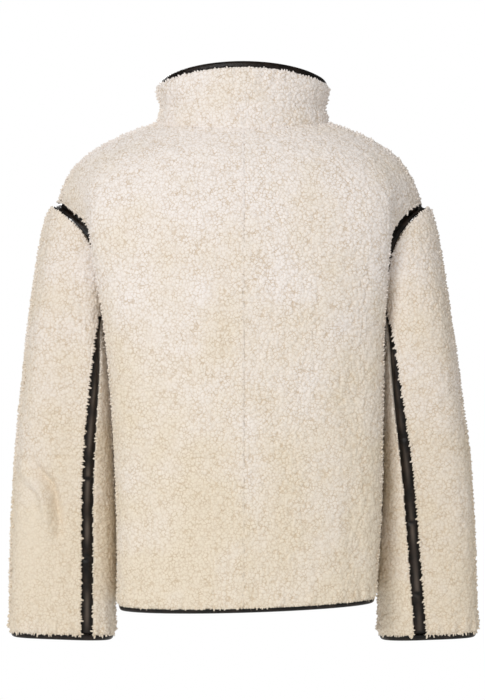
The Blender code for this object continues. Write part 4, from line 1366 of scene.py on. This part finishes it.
@dataclass
class Studio:
    """A pale floor, soft light and the camera behind the jacket."""

    scale: float = 1.26 * MM  # one pixel of the picture, in the plane of the shoulders
    frame_px: tuple[int, int] = (485, 700)
    centre_px: tuple[float, float] = (243.0, 125.0)  # where the jacket's origin lies in the picture
    distance: float = 2.8
    sensor: float = 36.0  # mm
    cast: float = 0.47  # the surround's light
    mirrored: float = 0.14  # as gloss mirrors it: a real studio is darker than its backdrop
    floor_radius: float = 1.35
    floor_height: float = -0.95

    def camera(self) -> None:
        """Puts the camera behind the jacket, level, as far off as the photograph's."""
        width, height = self.frame_px
        made = bpy.data.cameras.new("camera")
        made.sensor_width = self.sensor
        made.lens = self.sensor * self.distance / (height * self.scale)
        made.clip_end = 60.0
        holder = bpy.data.objects.new("camera", made)
        across = (self.centre_px[0] - width / 2) * self.scale
        down = (height / 2 - self.centre_px[1]) * self.scale
        holder.location = (across, self.distance, -down)
        holder.rotation_euler = (math.radians(90), 0.0, math.radians(180))
        bpy.context.scene.collection.objects.link(holder)
        bpy.context.scene.camera = holder

    def world(self) -> None:
        """An even white surround."""
        world = bpy.data.worlds.new("studio")
        world.use_nodes = True
        tree = world.node_tree
        tree.nodes.clear()
        path = add_node(tree, "ShaderNodeLightPath")
        seen = add_node(tree, "ShaderNodeBackground", {"Color": linear("ffffff"), "Strength": 1.0})
        strengths = {"To Min": self.cast, "To Max": self.mirrored}
        strength = add_node(tree, MAP_RANGE, strengths, {"Value": path.outputs["Is Glossy Ray"]})
        cast = add_node(tree, "ShaderNodeBackground", {"Color": linear("fffdfa")}, {"Strength": strength})
        to_camera = {0: path.outputs["Is Camera Ray"], 1: cast, 2: seen}
        both = add_node(tree, "ShaderNodeMixShader", links=to_camera)
        add_node(tree, "ShaderNodeOutputWorld", links={"Surface": both})
        bpy.context.scene.world = world

    def lamp(self, name: str, place: Vector, aim: Vector, size: float, power: float) -> None:
        """Hangs a soft square lamp.

        Args:
            name: Its name.
            place: Where it hangs.
            aim: The point that it faces.
            size: Its side, in metres.
            power: Its power, in watts.
        """
        made = bpy.data.lights.new(name, "AREA")
        made.size = size
        made.energy = power
        holder = bpy.data.objects.new(name, made)
        holder.location = place
        holder.rotation_euler = (aim - place).to_track_quat("-Z", "Y").to_euler()
        holder.visible_camera = False
        bpy.context.scene.collection.objects.link(holder)

    def floor(self) -> None:
        """A round pale floor that melts into the surround at its rim."""
        bm = bmesh.new()
        bmesh.ops.create_circle(bm, cap_ends=True, segments=96, radius=self.floor_radius)
        bmesh.ops.translate(bm, verts=bm.verts, vec=(0, 0, self.floor_height))
        mesh = mesh_of(bm, "floor")
        made, tree = new_material("pale matt floor")
        look = {"Base Color": linear("f4f3f1"), "Roughness": 0.8}
        shader = add_node(tree, "ShaderNodeBsdfPrincipled", look)
        add_node(tree, "ShaderNodeOutputMaterial", links={"Surface": shader})
        mesh.materials.append(made)
        floor = bpy.data.objects.new("floor", mesh)
        bpy.context.scene.collection.objects.link(floor)

    def build(self) -> None:
        """Builds the studio."""
        self.camera()
        self.world()
        self.floor()
        middle = Vector((0.0, 0.0, -0.3))
        self.lamp("key", Vector((1.3, 2.8, 1.0)), middle, 1.3, 50.0)
        self.lamp("fill", Vector((-1.2, 2.6, 0.1)), middle, 1.8, 7.0)
        self.lamp("front_key", Vector((1.3, -2.8, 1.0)), middle, 1.3, 62.0)
        view = bpy.context.scene.view_settings
        view.view_transform = "Standard"
        view.look = "None"


# ---------------------------------------------------------------- the jacket

# In millimetres
ELBOW_LINE = ((263, -414), (258, -429), (239, -450), (234, -463), (229, -495), (227, -520))
LEFT_SLEEVE_CREASES = (
    Crease(ELBOW_LINE, 10.0, 5.2, 8.0, 15),
    Crease(((215, -540), (214, -556), (216, -574)), 2.2, 2.6),
    Crease(((284, -352), (262, -372), (236, -378)), 1.2, 8, 0.9, -14),
    Crease(((275, -560), (250, -585), (225, -590)), 1.0, 9),
    Crease(((196, -322), (232, -350), (268, -342)), 3.4, 7, 2.4, 14, False),
    Crease(((200, -386), (240, -414), (264, -412)), 2.6, 6, 1.8, -12, False),
    Crease(((262, -452), (240, -482), (226, -530)), 2.2, 7, 1.6, 13, False),
)
RIGHT_SLEEVE_CREASES = (
    Crease(((-276, -452), (-258, -474), (-246, -508)), 1.2, 9, 0.8, -16),
    Crease(((-262, -330), (-246, -352), (-224, -360)), 1.0, 9),
    Crease(((-198, -334), (-230, -356), (-258, -352)), 3.0, 7, 2.0, 13, False),
    Crease(((-204, -402), (-236, -420), (-274, -410)), 3.0, 6.5, 2.0, -13, False),
    Crease(((-268, -482), (-246, -504), (-236, -552)), 1.8, 8, 1.2, 14, False),
)
LEFT_BACK_CREASES = (
    Crease(((142, -262), (120, -306), (104, -372)), 1.2, 14),
    Crease(((118, -440), (123, -520), (131, -590)), 1.6, 10, 1.0, 18),
)
RIGHT_BACK_CREASES = (
    Crease(((-150, -250), (-134, -318), (-128, -400)), 1.3, 13),
    Crease(((-128, -430), (-134, -510), (-142, -585)), 1.5, 11),
)
LEFT_FRONT_CREASES = (
    Crease(((166, -212), (132, -252), (84, -306)), 5.2, 11, 3.4, -20, False),
    Crease(((150, -405), (124, -480), (116, -568)), 4.6, 12, 3.0, 22, False),
    Crease(((64, -190), (56, -290), (66, -395)), 2.8, 13, from_back=False),
)
RIGHT_FRONT_CREASES = (
    Crease(((-168, -206), (-136, -262), (-100, -300)), 4.4, 12, 3.0, 20, False),
    Crease(((-156, -380), (-132, -450), (-128, -560)), 5.2, 11, 3.4, -21, False),
    Crease(((-70, -330), (-58, -420), (-62, -530)), 2.8, 13, from_back=False),
)
COLLAR_ROLLS = (Roll(0.021, -3.6 * MM, 9 * MM), Roll(0.045, 2.2 * MM, 9 * MM))
RUBBED_ELBOW = BrushedSpot((0.262, 0.0, -0.515), (0.034, 0.080, 0.075))

BACK = (0.26, 0.66)  # the flat width and length of each cut
FRONT = (0.26, 0.60)
UPPER = (0.30, 0.56)
UNDER = (0.10, 0.46)
COLLAR = (0.44, 0.085)
PANELS = (
    PilePanel("back_left", BACK, 0.149, Held.HUNG, LEFT_BACK_CREASES),
    PilePanel("back_right", BACK, 0.151, Held.HUNG, RIGHT_BACK_CREASES),
    PilePanel("front_left", FRONT, 0.137, Held.HUNG, LEFT_FRONT_CREASES, side_on=0.22),
    PilePanel("front_right", FRONT, 0.139, Held.HUNG, RIGHT_FRONT_CREASES, side_on=0.22),
    PilePanel("sleeve_left_upper", UPPER, 0.135, Held.HUNG, LEFT_SLEEVE_CREASES, (RUBBED_ELBOW,)),
    PilePanel("sleeve_right_upper", UPPER, 0.127, Held.HUNG, RIGHT_SLEEVE_CREASES),
    PilePanel("sleeve_left_under", UNDER, 0.033, Held.HUNG, side_on=0.22),
    PilePanel("sleeve_right_under", UNDER, 0.036, Held.HUNG, side_on=0.22),
    PilePanel("collar", COLLAR, 0.032, Held.DRAPED, COLLAR_ROLLS),
)
TRIMS = (
    LeatherTrim("sleeve_strip_left", 7.5 * MM, 2.6 * MM, (-0.443, -0.545)),
    LeatherTrim("sleeve_strip_right", 7.5 * MM, 2.6 * MM, (-0.392, -0.498, -0.588)),
    LeatherTrim("armhole_band_left", 6.5 * MM, 1.6 * MM, tip_lift=2.8 * MM),
    LeatherTrim("armhole_band_right", 6.5 * MM, 1.6 * MM, tip_lift=2.8 * MM),
    LeatherTrim("cuff_binding_left", 6 * MM, 0.3 * MM, shrink=0.02),
    LeatherTrim("cuff_binding_right", 6 * MM, 0.3 * MM, shrink=0.02),
    LeatherTrim("collar_binding", 6 * MM, 0.4 * MM),
    LeatherTrim("hem_binding", 6 * MM, 0.3 * MM),
    LeatherTrim("front_edge_binding_left", 6 * MM, 0.4 * MM),
    LeatherTrim("front_edge_binding_right", 6 * MM, 0.4 * MM),
)


def dress_node(node: str, finish: Material) -> None:
    """Gives a solid that shows as it is its finish."""
    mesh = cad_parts[node].data
    mesh.materials.clear()
    mesh.materials.append(finish)


def main() -> None:
    """Builds the studio, the cloth, the leather and the zip."""
    Studio().build()
    pile = BouclePile()
    pile_finish = pile.material()
    leather_finish = SoftLeather().material()
    tape_finish = ZipTape().material()
    metal_finish = PlatedMetal().material()
    raise_nubs = nub_tree(pile.nubs)
    trims = Trims()
    borders = [panel.build(raise_nubs, pile_finish, trims) for panel in PANELS]
    for panel, border in zip(PANELS, borders):
        Tufts().build(panel.node, border, pile_finish, trims)
    naps = Naps(borders)
    for trim in TRIMS:
        trim.build(leather_finish, naps)
    for node in ("zip_tape_left", "zip_tape_right"):
        dress_node(node, tape_finish)
    for node in ("zip_slider", "zip_pull_tab"):
        dress_node(node, metal_finish)
    ZipChain().build(metal_finish)
    pieces = [made for made in bpy.data.objects if made.type == "MESH" and not made.hide_render]
    counts = {made.name: len(made.data.loops) - 2 * len(made.data.polygons) for made in pieces}
    log.info("triangles in all: %d, most in one piece: %d", sum(counts.values()), max(counts.values()))


if __name__ == "__main__":
    main()
